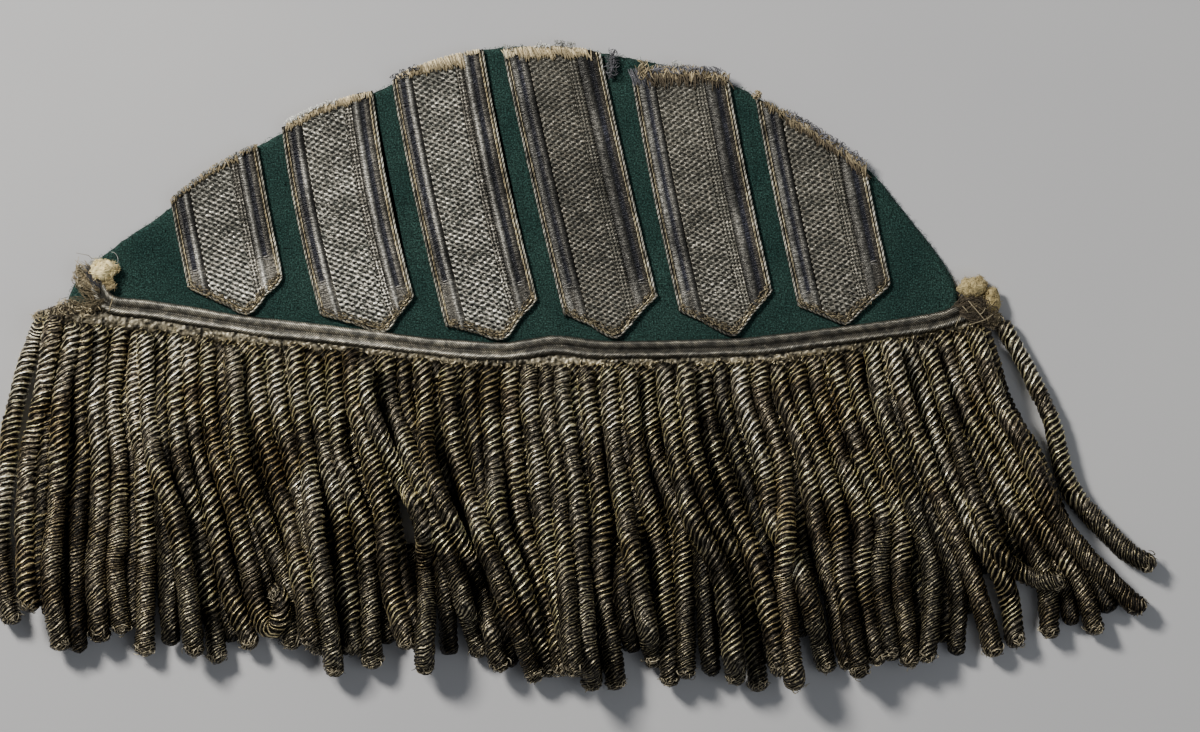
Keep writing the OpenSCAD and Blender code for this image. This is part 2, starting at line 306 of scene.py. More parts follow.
class Finish:
    """One material, put together node by node. Sockets are linked and numbers are set."""

    def __init__(self, name, roughness=0.6, metallic=0.0, specular=0.5, sheen=0.0):
        self.material = bpy.data.materials.new(name)
        self.material.use_nodes = True
        self.tree = self.material.node_tree
        self.surface = self.tree.nodes["Principled BSDF"]
        self.set(self.surface, "Roughness", roughness)
        self.set(self.surface, "Metallic", metallic)
        self.set(self.surface, "Specular IOR Level", specular)
        self.set(self.surface, "Sheen Weight", sheen)
        if sheen:
            self.set(self.surface, "Sheen Roughness", 0.5)

    def set(self, node, name, value):
        socket = node.inputs[name]
        if isinstance(value, bpy.types.NodeSocket):
            self.tree.links.new(value, socket)
        else:
            socket.default_value = value

    def add(self, kind, out=0, settings=(), **inputs):
        node = self.tree.nodes.new(kind)
        for key, value in dict(settings).items():
            setattr(node, key, value)
        for key, value in inputs.items():
            self.set(node, int(key[1:]) if key[1:].isdigit() else key, value)
        return node.outputs[out]

    def math(self, operation, a, b=0.0, c=0.0):
        return self.add("ShaderNodeMath", settings={"operation": operation}, i0=a, i1=b, i2=c)

    def scaled(self, value, by, plus=0.0):
        return self.math("MULTIPLY_ADD", value, by, plus)

    def place(self):
        return self.add("ShaderNodeTexCoord", "Object")

    def uv(self, name):
        node = self.tree.nodes.new("ShaderNodeUVMap")
        node.uv_map = name
        split = self.add("ShaderNodeSeparateXYZ", i0=node.outputs[0])
        return node.outputs[0], split, split.node.outputs[1]

    def colour(self, name):
        return self.add("ShaderNodeAttribute", "Color", settings={"attribute_name": name})

    def lightness(self, colour):
        return self.add("ShaderNodeRGBToBW", i0=colour)

    def swing(self, noise, size, value):
        """The value, moved either way by as much as the noise swings from its middle."""
        return self.scaled(noise, size, self.math("ADD", value, -size / 2))

    def noise(self, where, scale, detail, rough, stretch=None):
        """Noise at a scale, stretched by two factors across and along where they are given."""
        if stretch:
            where = self.add("ShaderNodeMapping", Vector=where, Scale=(*stretch, 1.0))
        return self.add(
            "ShaderNodeTexNoise", Vector=where, Scale=scale, Detail=detail, Roughness=rough
        )

    def waves(self, value, per_unit):
        """Height that rises and falls so often in each unit: the sine of half a turn, unsigned."""
        return self.math("ABSOLUTE", self.math("SINE", self.scaled(value, np.pi * per_unit)))

    def ramp(self, value, stops):
        """Colour by value, blended from stop to stop: each a value, then a colour or a grey."""
        stops = [(at, rgb if isinstance(rgb, tuple) else (rgb,) * 3) for at, rgb in stops]
        node = self.tree.nodes.new("ShaderNodeValToRGB")
        points = node.color_ramp.elements
        points[0].position, points[1].position = stops[0][0], stops[-1][0]
        points[0].color, points[1].color = (*stops[0][1], 1), (*stops[-1][1], 1)
        for at, rgb in stops[1:-1]:
            points.new(at).color = (*rgb, 1)
        self.set(node, "Fac", value)
        return node.outputs["Color"]

    def blend(self, share, a, b, how="MIX"):
        """Colour a blended with colour b by a share. The sockets of its colours are 6 and 7."""
        settings = {"data_type": "RGBA", "blend_type": how}
        return self.add("ShaderNodeMix", 2, settings, i0=share, i6=a, i7=b)

    def times(self, colour, *others):
        """Colours multiplied together."""
        for other in others:
            colour = self.blend(1.0, colour, other, "MULTIPLY")
        return colour

    def relief(self, height, depth, strength, below=None):
        node = self.tree.nodes.new("ShaderNodeBump")
        self.set(node, "Strength", strength)
        self.set(node, "Distance", depth * MM)
        self.set(node, "Height", height)
        if below is not None:
            self.set(node, "Normal", below)
        return node.outputs[0]

    def finish(self, colour, relief=None, roughness=None):
        self.set(self.surface, "Base Color", colour)
        if relief is not None:
            self.set(self.surface, "Normal", relief)
        if roughness is not None:
            self.set(self.surface, "Roughness", roughness)
        return self.material


def bullion_finish():
    """Tarnished gold wire. A thin bright line, a painted highlight, runs along the crest of each
    turn, with finer and duller ones between it and the next, and the valleys between turns are
    painted near black as shade. Breaks cut the lines into short lengths. Where the twist is worn
    away, close lines alone are left, in a scratchy mat of wires."""
    f = Finish("tarnished bullion", metallic=0.8)
    where = f.place()
    twist, turns, _ = f.uv("twist")
    turns = f.swing(f.noise(twist, 1.0, 2.0, 0.5, (0.7, 4.0)), 0.7, turns)
    crest = f.math("POWER", f.waves(turns, 1.0), 6.0)
    fine = f.math("POWER", f.waves(turns, 2.5), 1.6)
    close = f.math("POWER", f.waves(turns, 2.0), 1.5)
    wires = f.noise(twist, 1.0, 2.0, 0.65, (6.0, 13.0))
    breaks = f.noise(twist, 1.0, 2.0, 0.6, (0.9, 9.0))
    scratches = f.noise(twist, 1.0, 2.0, 0.65, (4.2, 15.0))
    patches = f.noise(where, 62.0, 3.0, 0.6)
    mats = f.noise(where, 105.0, 2.0, 0.5)
    ordered = f.scaled(crest, 0.66, f.scaled(fine, 0.27, 0.16))
    ordered = f.swing(breaks, 0.75, f.swing(wires, 1.3, ordered))
    ragged = f.swing(scratches, 1.35, f.scaled(close, 0.58, 0.13))
    wear = f.scaled(f.lightness(f.colour("wear")), 0.5, mats)
    worn_away = f.ramp(wear, [(0.52, 0.0), (0.72, 1.0)])
    bare = f.add("ShaderNodeMix", i0=worn_away, i2=ordered, i3=ragged)
    # Painted light: near black in the valleys as shade, bright gold on the crests as highlights
    gold = f.ramp(bare, [
        (0.0, (0.004, 0.0035, 0.003)), (0.30, (0.016, 0.0137, 0.0112)),
        (0.5, (0.072, 0.063, 0.049)), (0.68, (0.43, 0.372, 0.27)), (0.84, (1.22, 1.06, 0.62)),
        (1.0, (1.8, 1.55, 0.82)),
    ])
    # Darker patches: partly soot, partly painted shade that stands for the deep shadows between
    # strands
    soot_and_shade = f.ramp(patches, [(0.36, (0.30, 0.27, 0.24)), (0.58, 1.0)])
    height = f.scaled(fine, 0.3, bare)
    return f.finish(f.times(gold, soot_and_shade, f.colour("tone")), f.relief(height, 0.4, 0.8),
                    f.scaled(patches, -0.2, 0.50))


def cord_finish():
    """Thin two-ply cord of metal thread: long bright bars with dark between them, painted as a
    highlight on each turn and as shade in the grooves between turns.
    """
    f = Finish("two-ply lace cord", roughness=0.4, metallic=0.6)
    where = f.place()
    _, turns, _ = f.uv("twist")
    # Painted highlight on each turn of the cord and painted shade in the grooves
    bars = f.ramp(f.waves(turns, 1.0), [(0.3, 0.05), (0.6, 0.7), (0.9, 1.15)])
    tarnish = f.ramp(f.noise(where, 420.0, 3.0, 0.6), [(0.38, 0.4), (0.6, 1.15)])
    relief = f.relief(f.noise(where, 2400.0, 2.0, 0.7), 0.12, 0.6)
    return f.finish(f.times(f.colour("tone"), bars, tarnish), relief)


def lace_finish():
    """Metal thread lace. The colour of each band of threads is on the points. Over the net the
    colour falls to black in the holes, whose lattice is the sum of two waves that cross, and
    each knot is lighter or duller than the next, with painted glints added on the brightest
    ones near the point, where the lace is also less rough. The bands are sewn over with fine
    threads that run across them."""
    f = Finish("tarnished lace", metallic=0.5)
    where = f.place()
    lattice, across, along = f.uv("lattice")
    _, net, falls = f.uv("parts")
    flat_map, _, _ = f.uv("flat")
    falling, rising = (
        f.math("COSINE", f.math("MULTIPLY", f.math(how, across, along), FULL_TURN))
        for how in ("ADD", "SUBTRACT")
    )
    rises = f.math("SUBTRACT", 1.0, falls)
    holes = f.scaled(falling, falls, f.math("MULTIPLY", rising, rises))
    uneven = f.noise(where, 1100.0, 2.0, 0.6)
    rise = f.scaled(f.swing(uneven, 1.5, holes), -0.5, 0.5)
    knots = f.ramp(rise, [
        (0.12, 0.02), (0.25, 0.05), (0.36, 0.34), (0.47, 0.86), (0.7, 1.08), (1.0, 1.22),
    ])
    rubbed = f.noise(lattice, 1.0, 3.0, 0.6, (0.33, 0.36))
    patchy = f.ramp(rubbed, [(0.36, (0.70, 0.72, 0.72)), (0.5, 0.97), (0.64, 1.32)])
    single = f.noise(lattice, 1.0, 1.0, 0.5, (2.1, 2.3))
    varied = f.ramp(single, [
        (0.36, (0.56, 0.60, 0.62)), (0.5, (0.93, 0.95, 0.95)), (0.64, (1.36, 1.27, 1.20)),
    ])
    # How much painted glint each knot takes: on some knots and rubbed places, and on the knot tops
    bright = f.swing(rubbed, 4.0, f.scaled(single, 8.0, -3.8))
    bright = f.math("MULTIPLY", bright, f.math("SUBTRACT", rise, 0.25))
    bright = f.math("MAXIMUM", bright, 0.0)
    streaks = f.noise(flat_map, 1.0, 2.0, 0.65, (0.5, 2.7))
    bands = f.ramp(streaks, [(0.34, 0.35), (0.5, 0.9), (0.64, 1.7)])
    pattern = f.blend(net, bands, f.times(knots, patchy, varied))
    grain = f.noise(where, 2600.0, 2.0, 0.7)
    dust = f.ramp(grain, [(0.34, 0.42), (0.66, 1.5)])
    colour = f.times(f.colour("thread"), pattern)
    # Painted glints: the glint colour is added over the brightest knots
    colour = f.blend(bright, colour, f.blend(1.0, colour, f.colour("painted_glint"), "ADD"))
    relief = f.relief(f.lightness(pattern), 0.16, 0.7, f.relief(grain, 0.12, 0.6))
    shine = f.math("MULTIPLY", bright, f.lightness(f.colour("painted_glint")))
    rough = f.math("MAXIMUM", f.scaled(shine, -0.05, 0.37), 0.2)
    return f.finish(f.times(colour, dust), relief, rough)


def cloth_finish():
    """Felted wool: bottle green, cloudy, with a fine grain of light and dark fibres."""
    f = Finish("bottle green felt", roughness=0.95, specular=0.12, sheen=0.03)
    where = f.place()
    clouds = f.noise(where, 90.0, 4.0, 0.6)
    nap = f.noise(where, 1500.0, 3.0, 0.75)
    grain = f.noise(where, 2700.0, 2.0, 0.8)
    hairs = f.math("ADD", f.noise(where, 420.0, 2.0, 0.6, (1.0, 7.0)),
                   f.noise(where, 420.0, 2.0, 0.6, (6.0, 1.0)))
    green = f.ramp(clouds, [(0.3, (0.0034, 0.0092, 0.0080)), (0.7, (0.0062, 0.0142, 0.0120))])
    fuzz = f.ramp(f.scaled(hairs, 0.4, f.scaled(nap, 0.6)), [
        (0.42, 0.40), (0.49, 0.85), (0.55, 1.8), (0.62, 3.8),
    ])
    specks = f.ramp(grain, [(0.36, 0.35), (0.5, 0.9), (0.6, 1.7), (0.7, 3.0)])
    height = f.scaled(grain, 0.6, f.scaled(hairs, 0.4))
    return f.finish(f.times(green, fuzz, specks), f.relief(height, 0.5, 0.9))


def braid_finish():
    """Plaited metal thread: fine threads that slant one way on the upper ridge and the other
    way on the lower ridge, some of them lifted, with a painted highlight on the lifted threads
    and painted shade between them."""
    f = Finish("plaited braid", roughness=0.38, metallic=0.55)
    where = f.place()
    _, along, across = f.uv("flat")
    slant = f.math("ADD", f.math("ABSOLUTE", across), along)
    slant = f.swing(f.noise(where, 260.0, 2.0, 0.5), 0.8, slant)
    fine = f.noise(where, 1700.0, 2.0, 0.7)
    lone = f.noise(where, 620.0, 2.0, 0.6)
    lifted = f.swing(lone, 0.9, f.scaled(f.waves(slant, 1.8), 0.6, 0.13))
    # Painted highlight on the lifted threads, painted shade in the grooves between threads
    shade = f.ramp(lifted, [(0.0, 0.36), (0.35, 0.75), (0.6, 1.3), (0.8, (4.2, 4.0, 3.6))])
    dust = f.ramp(fine, [(0.3, 0.65), (0.7, 1.35)])
    relief = f.relief(lifted, 0.2, 0.8, f.relief(fine, 0.12, 0.5))
    return f.finish(f.times(f.colour("thread"), shade, dust), relief)


def thread_finish(name, roughness, metallic):
    """Loose or looped thread in the colour of its points, with a little fibre in it."""
    f = Finish(name, roughness=roughness, metallic=metallic)
    fine = f.noise(f.place(), 2200.0, 2.0, 0.7)
    dust = f.ramp(fine, [(0.3, 0.55), (0.7, 1.35)])
    return f.finish(f.times(f.colour("thread"), dust), f.relief(fine, 0.2, 0.7))


def wadding_finish():
    """Yellowed cotton wadding, matted in fine fibres."""
    f = Finish("cotton wadding", roughness=0.95, specular=0.2, sheen=0.1)
    where = f.place()
    tufts = f.noise(where, 380.0, 4.0, 0.65)
    fibres = f.noise(where, 900.0, 3.0, 0.7, (1.0, 4.0))
    both = f.math("ADD", tufts, fibres)
    shade = f.ramp(f.scaled(both, 0.5), [(0.38, 0.70), (0.5, 1.02), (0.62, 1.25)])
    return f.finish(f.times(f.colour("thread"), shade), f.relief(both, 0.6, 0.9))


BULLION = bullion_finish()
CORD = cord_finish()
LACE = lace_finish()
CLOTH = cloth_finish()
BRAID = braid_finish()
METAL_THREAD = thread_finish("dull gold thread", 0.42, 0.5)
FIBRE = thread_finish("cotton thread", 0.85, 0.0)
WADDING = wadding_finish()

# Colours of threads
CREAM = np.array([0.66, 0.56, 0.36])
WHITE = np.array([0.62, 0.62, 0.58])
TAN = np.array([0.42, 0.34, 0.20])
BROWN = np.array([0.07, 0.055, 0.035])
SMOKE = np.array([0.09, 0.09, 0.10])


# Cloth

# Crown and seam of the cloth in pixels of the photo, from left to right
CROWN = place([
    (66, 303), (72, 287), (82, 272), (95, 261), (130, 236), (175, 205), (222, 170), (270, 139),
    (326, 112), (380, 89), (429, 66), (479, 50), (540, 46), (600, 52), (660, 64), (735, 85),
    (760, 98), (813, 130), (860, 161), (899, 205), (929, 243), (948, 270), (957, 288),
    (960, 308),
])
SEAM = place([
    (66, 304), (91, 304), (117, 304), (175, 311), (250, 324), (332, 332), (429, 344),
    (492, 351), (529, 349), (561, 346), (591, 349), (619, 351), (679, 348), (753, 345),
    (824, 337), (899, 326), (960, 313),
])
CROWN_LINE = smooth_line(CROWN)
SEAM_LINE = smooth_line(SEAM)
# Room under the top of the cloth for its soft wave
CLOTH_WAVE = 0.16


def crown_y(x):
    return np.interp(x, CROWN_LINE[:, 0], CROWN_LINE[:, 1])


def seam_y(x):
    return np.interp(x, SEAM_LINE[:, 0], SEAM_LINE[:, 1])


def build_cloth():
    """Upper face at the cloth's thickness, less a soft wave, and rounded down to a third of it
    within a millimetre of the crown. The crown itself wanders a little, as torn felt does."""
    xs = np.linspace(CROWN_LINE[0, 0] + 0.2, CROWN_LINE[-1, 0] - 0.2, 300)
    ys = np.arange(-29.0, 43.5, 1.0)
    low = seam_y(xs)
    high = crown_y(xs) + 0.22 * drift_line(xs, 1.3, 11) + 0.25 * drift_line(xs, 5.0, 12)
    high = np.maximum(high, low + 0.3)

    def top(x, y):
        inside = np.interp(x, xs, high) - y
        round_off = half_round(np.clip(inside / 1.1, 0, 1) - 1)
        wave = 0.09 * drift(x, y, 14.0, 13) + 0.04 * drift(x, y, 3.0, 14)
        return (CLOTH_TOP - CLOTH_WAVE + wave) * (0.35 + 0.65 * round_off)

    points, faces, _, _ = slab(xs, ys, low, high, top, 0.0)
    piece = make_piece("cloth_base_felt", points, faces, CLOTH, nodes=["cloth_base"])


def build_felt_fuzz():
    """Short green fibres that stand out of the cut edge of the crown."""
    rng = np.random.default_rng(3)
    count = 520
    line = CROWN_LINE[rng.integers(2, len(CROWN_LINE) - 2, count)]
    line = line + rng.uniform(-0.3, 0.3, line.shape)
    middles = np.column_stack([line, rng.uniform(0.5, 1.5, count)])
    path = strewn(rng, middles, rng.uniform(0, np.pi, count), (0.5, 1.3), (-0.3, 0.3), (0, 0.4), 4)
    rgb = np.array([0.02, 0.05, 0.04]) * rng.uniform(0.4, 2.2, (count, 1))
    points, faces, rgb = threads(path, 0.055, rgb, 3)
    make_piece("crown_felt_fuzz", points, faces, FIBRE, colours={"thread": rgb})


# Lace stripes

LACE_WIDTH = 22.1
# Thickness of the lace under its relief, and how far the net lies under the bands
LACE_BODY = 0.42
NET_SINK = 0.12
# How high over the top of the lace its raw top, its frayed edging and its cross stitches lie
RAW_TOP_LIFT, EDGING_LIFT, STITCH_LIFT = 0.11, 0.16, 0.31
# Stripes: tip x and y in pixels, then in degrees and millimetres the lean, how far right of
# the tip the middle lies, how far the stripe bows aside halfway up, and how high over the tip
# its left and right corners and its left and right top ends lie
STRIPES = [
    # tip        lean  mid    bow   corners   tops
    (247.5, 315.0, 11.3, -1.2, -0.2, 8.8, 6.6, 29.4, 38.2),
    (384.0, 332.5, 12.0, -2.0, -1.3, 7.0, 6.6, 51.5, 55.2),
    (502.0, 340.0, 12.6, -0.7, -0.9, 6.1, 7.5, 64.7, 66.7),
    (617.0, 339.0, 13.2, 0.45, -0.4, 8.8, 7.7, 71.2, 65.8),
    (735.0, 336.5, 11.9, -0.1, -0.6, 8.3, 8.6, 63.0, 58.1),
    (846.0, 325.0, 11.8, 1.25, -0.4, 6.6, 7.0, 56.1, 35.3),
]
# Nets of the stripes: style of the bands, pitch of the holes across and along, how far a row
# of holes climbs in a millimetre of width as a share of the pitch, share of the threads that
# fall to the right, how open the net is at the top, and how light the stripe is
NETS = [
    # style     across along climb  falling open light
    ("ribbed", 2.13, 1.31, 0.035, 0.70, 0.65, 0.76),
    ("ribbed", 2.13, 1.31, 0.020, 0.65, 0.80, 0.80),
    ("ribbed", 2.13, 1.31, 0.035, 0.61, 0.80, 0.72),
    ("broad", 2.09, 1.20, 0.085, 0.53, 0.62, 0.44),
    ("broad", 2.09, 1.20, 0.085, 0.53, 0.62, 0.59),
    ("broad", 2.20, 1.25, 0.039, 0.53, 0.62, 0.53),
]

# Shares of a stripe's length, and how light the tarnish leaves each stripe there
TARNISH_AT = [0.05, 0.3, 0.5, 0.75, 1.0]
TARNISH = [
    (1.40, 1.20, 0.72, 0.50, 0.50),
    (1.15, 1.05, 0.95, 0.82, 0.60),
    (1.00, 0.80, 0.80, 0.90, 0.65),
    (1.00, 1.00, 0.78, 0.82, 0.85),
    (0.72, 0.85, 0.75, 0.80, 0.55),
    (0.68, 0.80, 0.92, 0.75, 0.60),
]

SILVER = (0.44, 0.425, 0.38)
NAVY = (0.022, 0.023, 0.032)
INDIGO = (0.046, 0.048, 0.068)
GREY = (0.175, 0.163, 0.138)
STEEL = (0.250, 0.240, 0.212)
DARK = (0.040, 0.037, 0.032)
KNOT = (0.435, 0.415, 0.35)
OLIVE = (0.35, 0.325, 0.26)
CHAIN = (0.27, 0.245, 0.20)
PALE = (0.38, 0.37, 0.33)
BROWN_GREY = (0.14, 0.125, 0.10)
# Pitch of the small holes in the chain beside the net, across and along
CHAIN_PITCH = (0.80, 0.84)
# Bands across the lace, from its left edge: width in millimetres, height or depth of the
# holes in millimetres, how it is shaped, its colour, and how many columns it takes
BANDS = {
    "ribbed": [
        (1.45, 0.12, "flat", DARK, 3), (0.45, 0.25, "flat", GREY, 1),
        (1.20, 0.22, "flat", NAVY, 4), (1.10, 0.46, "rib", SILVER, 5),
        (0.65, 0.15, "flat", DARK, 2),
        (10.2, 0.33, "net", KNOT, 0), (1.6, 0.16, "chain", CHAIN, 0),
        (0.55, 0.15, "flat", DARK, 1), (1.20, 0.50, "rib", SILVER, 5),
        (1.25, 0.22, "flat", NAVY, 3), (0.75, 0.26, "flat", GREY, 2),
        (1.65, 0.12, "flat", DARK, 3),
    ],
    "broad": [
        (1.50, 0.12, "flat", DARK, 3), (1.05, 0.30, "flat", PALE, 2),
        (1.10, 0.20, "flat", INDIGO, 2), (1.25, 0.42, "rib", STEEL, 4),
        (0.40, 0.15, "flat", DARK, 1), (8.9, 0.198, "net", OLIVE, 0),
        (2.2, 0.16, "chain", OLIVE, 0), (0.45, 0.15, "flat", DARK, 1),
        (1.95, 0.44, "rib", STEEL, 5), (1.20, 0.20, "flat", INDIGO, 3),
        (0.90, 0.22, "flat", BROWN_GREY, 2), (1.20, 0.16, "flat", DARK, 3),
    ],
}
# Where the navy and indigo threads end over the tip, on the left and on the right
NAVY_ENDS = [(12.3, 12.3), (14.3, 9.6), (16.0, 12.0), (14.7, 11.9), (12.2, 4.0), (9.1, 13.0)]
# Cords round the edge of a stripe: how far in from its left edge and from its right edge,
# radius, and colour
EDGE_CORDS = {
    "ribbed": [
        (0.24, 0.14, 0.31, (0.86, 0.82, 0.67)), (1.00, 0.88, 0.24, (0.98, 0.81, 0.48)),
    ],
    "broad": [
        (0.26, 0.20, 0.33, (0.95, 0.90, 0.76)), (1.00, 0.92, 0.24, (1.05, 0.90, 0.57)),
    ],
}


class Stripe:
    """One lace stripe in its own frame: its tip at the origin and its length up the page."""

    def __init__(self, number):
        self.number = number
        (tip_x, tip_y, lean, middle, self.bow, self.corner_left, self.corner_right,
         self.top_left, self.top_right) = STRIPES[number - 1]
        (self.style, self.across, self.along, self.climb, self.falling, self.open_top,
         self.light) = NETS[number - 1]
        self.tip = place([tip_x, tip_y])
        self.lean = np.radians(lean)
        self.left = middle - LACE_WIDTH / 2
        self.right = middle + LACE_WIDTH / 2
        self.length = max(self.top_left, self.top_right)

    def low(self, x):
        """Pointed lower end: straight from the tip to each corner."""
        slope_left, slope_right = self.corner_left / self.left, self.corner_right / self.right
        return np.where(x < 0, slope_left * x, slope_right * x)

    def high(self, x):
        """Raw top: a low arch from one top end to the other, as the crown curves there."""
        share = (x - self.left) / LACE_WIDTH
        line = self.top_left + (self.top_right - self.top_left) * share
        return line + (1 - (2 * share - 1) ** 2)

    def on_cloth(self, points):
        """Points of the frame set on the cloth: bowed aside as four times the way up by the
        way left to go, then leaned and moved to the tip."""
        t = np.clip(points[..., 1] / self.length, 0, 1)
        x = points[..., 0] + self.bow * 4 * t * (1 - t)
        y = points[..., 1]
        return np.stack([
            self.tip[0] + x * np.cos(self.lean) - y * np.sin(self.lean),
            self.tip[1] + x * np.sin(self.lean) + y * np.cos(self.lean),
            points[..., 2],
        ], -1)

    def glow(self, x, y):
        """How light the threads are: by the tarnish along the stripe, with rubbed places and
        dirtier ones."""
        rubbed = 1 + 0.28 * drift(x, y, 7.0, 90 + self.number) + 0.14 * drift(x, y, 2.0, 99)
        return rubbed * np.interp(y / self.length, TARNISH_AT, TARNISH[self.number - 1])


def net_height(stripe, a, b):
    """Height of the net over its ground, from 0 in a hole to 1 on a thread. The holes lie at the
    peaks of two cosine waves that cross, one of them stronger than the other."""
    wave = stripe.falling * np.cos(FULL_TURN * (b + a))
    wave = wave + (1 - stripe.falling) * np.cos(FULL_TURN * (b - a))
    return 1 - np.clip((wave - 0.15) / 0.6, 0, 1) - 0.15 * np.clip(wave + 0.2, 0, 1)


def band_columns(start, bands):
    """Columns across bands of ribs and flat threads: x, height and colour of each. A rib is half
    a round, with a painted highlight along its middle and painted shade down its sides."""
    at, height, colour = [0.0], [bands[0][1] * 0.5], [bands[0][3]]
    edge = 0.0
    for width, high, shape, rgb, count in bands:
        t = (np.arange(count) + 0.5) / count
        aside = (2 * t - 1) ** 2 * (shape == "rib")
        at.extend(edge + width * t)
        height.extend(high * np.sqrt(1 - 0.8 * aside))
        # Rib colour: painted highlight along the middle, painted shade towards the sides
        light = 0.25 + 0.95 * (1 - aside) ** 1.3 if shape == "rib" else np.ones(count)
        colour.extend(np.array(rgb) * light[:, None])
        edge += width
    height.append(bands[-1][1] * 0.5)
    colour.append(bands[-1][3])
    return start + np.array(at + [edge]), np.array(height), np.array(colour)


def stripe_strip(stripe, start, bands):
    """Closed strip of the lace from start across the given bands, with relief that fades
    towards the point and the raw top. Returns points, triangles, x and y, the place in the net,
    how open the net is there and how its threads fall, colour, and the colour of the painted
    glints that the brightest knots add."""
    number = stripe.number
    width, depth, shape, ground, _ = bands[0]
    net, chain = shape in ("net", "chain"), shape == "chain"
    if net:
        column_width = CHAIN_PITCH[0] / 5 if chain else stripe.across / 7
        xs = np.linspace(start, start + width, int(round(width / column_width)) + 1)
        colour = np.tile(ground, (len(xs), 1))
        step = stripe.along / 6
    else:
        xs, height, colour = band_columns(start, bands)
        step = 0.7
    low = stripe.low(xs) + 0.15 * drift_line(xs, 1.1, 20 + number)
    high = stripe.high(xs) + 0.4 * drift_line(xs, 0.9, 30 + number)
    high = high + 0.3 * drift_line(xs, 3.1, 50 + number)
    ys = np.arange(-0.5, high.max() + step, step)

    def column(x):
        return np.clip(np.searchsorted(xs, x), 0, len(xs) - 1)

    def lattice(x, y):
        sway = 0.10 * drift(x, y, 5.0, 40 + number)
        slip = stripe.climb * x + 0.14 * drift(x, y, 6.0, 60 + number)
        if chain:
            across, along = x / CHAIN_PITCH[0] + sway, y / CHAIN_PITCH[1] + slip
            return (across - along) / 2, (across + along) / 2
        return x / stripe.across + sway, y / stripe.along + slip

    def top(x, y):
        near_point = np.clip((y - np.interp(x, xs, low)) / 0.9, 0, 1)
        fray = np.clip((np.interp(x, xs, high) - y) / 0.8, 0, 1)
        if net:
            relief = depth * net_height(stripe, *lattice(x, y)) - NET_SINK
        else:
            relief = height[column(x)]
        soft = 0.10 * drift(x, y, 9.0, 70 + number) + 0.05 * drift(x, y, 2.2, 80 + number)
        return LACE_BACK + LACE_BODY + relief * (0.3 + 0.7 * near_point) * fray + soft

    points, faces, x, y = slab(xs, ys, low, high, top, LACE_BACK)
    rgb = colour[column(x)]
    left_end, right_end = NAVY_ENDS[number - 1]
    navy = np.isin(rgb[:, 2], [NAVY[2], INDIGO[2]])
    rgb[navy & (y < np.where(x < 0, left_end, right_end))] = GREY
    rgb = rgb * stripe.light
    if not net:
        # Soft lighter and darker lengths along the bands: rubbed metal, and painted sheen where
        # lighter
        rgb = rgb * (1 + 0.55 * drift(x, y, 8.0, 190 + number))[:, None]
    # Darker towards the pointed lower end, down to a seventh at the edge
    darker_at_point = np.clip((y - stripe.low(x) - 0.4) / 1.9, 0.14, 1)
    rgb = rgb * (stripe.glow(x, y) * darker_at_point)[:, None]
    way = y / stripe.length
    openness = np.interp(way, [0, 0.25, 0.6, 1], [1, 1, 0.9, stripe.open_top])
    openness = openness * (0.9 if stripe.style == "broad" else 1.0)
    parts = np.column_stack([net * openness, np.full(len(x), 0.5 if chain else stripe.falling)])
    # How strong the painted glints are: strongest just above the point, far stronger on lighter
    # stripes
    bright = np.interp(way, [0, 0.12, 0.4, 0.8], [0.55, 1.1, 0.5, 0.3])
    bright = bright * (1 + 0.4 * drift(x, y, 6.0, 210 + number)) * (stripe.light / 0.9) ** 4
    painted_glint = (net * bright)[:, None] * np.array([3.4, 3.25, 2.8])
    flat, place_in_net = np.column_stack([x, y]), np.column_stack(lattice(x, y))
    return points, faces, flat, place_in_net, parts, rgb, painted_glint


def build_stripe(stripe):
    """Weave of a stripe: the bands on the left, the net, the chain of smaller holes beside it,
    and the bands on the right."""
    bands = BANDS[stripe.style]
    scale = LACE_WIDTH / sum(band[0] for band in bands)
    bands = [(width * scale, *rest) for width, *rest in bands]
    net = [band[2] for band in bands].index("net")
    strips, start = [], stripe.left
    for run in (bands[:net], bands[net:net + 1], bands[net + 1:net + 2], bands[net + 2:]):
        strips.append(stripe_strip(stripe, start, run))
        start += sum(band[0] for band in run)
    points, faces, flat, lattice, parts, rgb, painted_glint = gather(strips)
    name = f"lace_stripe_{stripe.number}"
    return make_piece(
        f"{name}_weave", stripe.on_cloth(points), faces, LACE,
        maps={"lattice": lattice[faces], "parts": parts[faces], "flat": flat[faces]},
        colours={"thread": rgb, "painted_glint": painted_glint}, nodes=[name],
    )


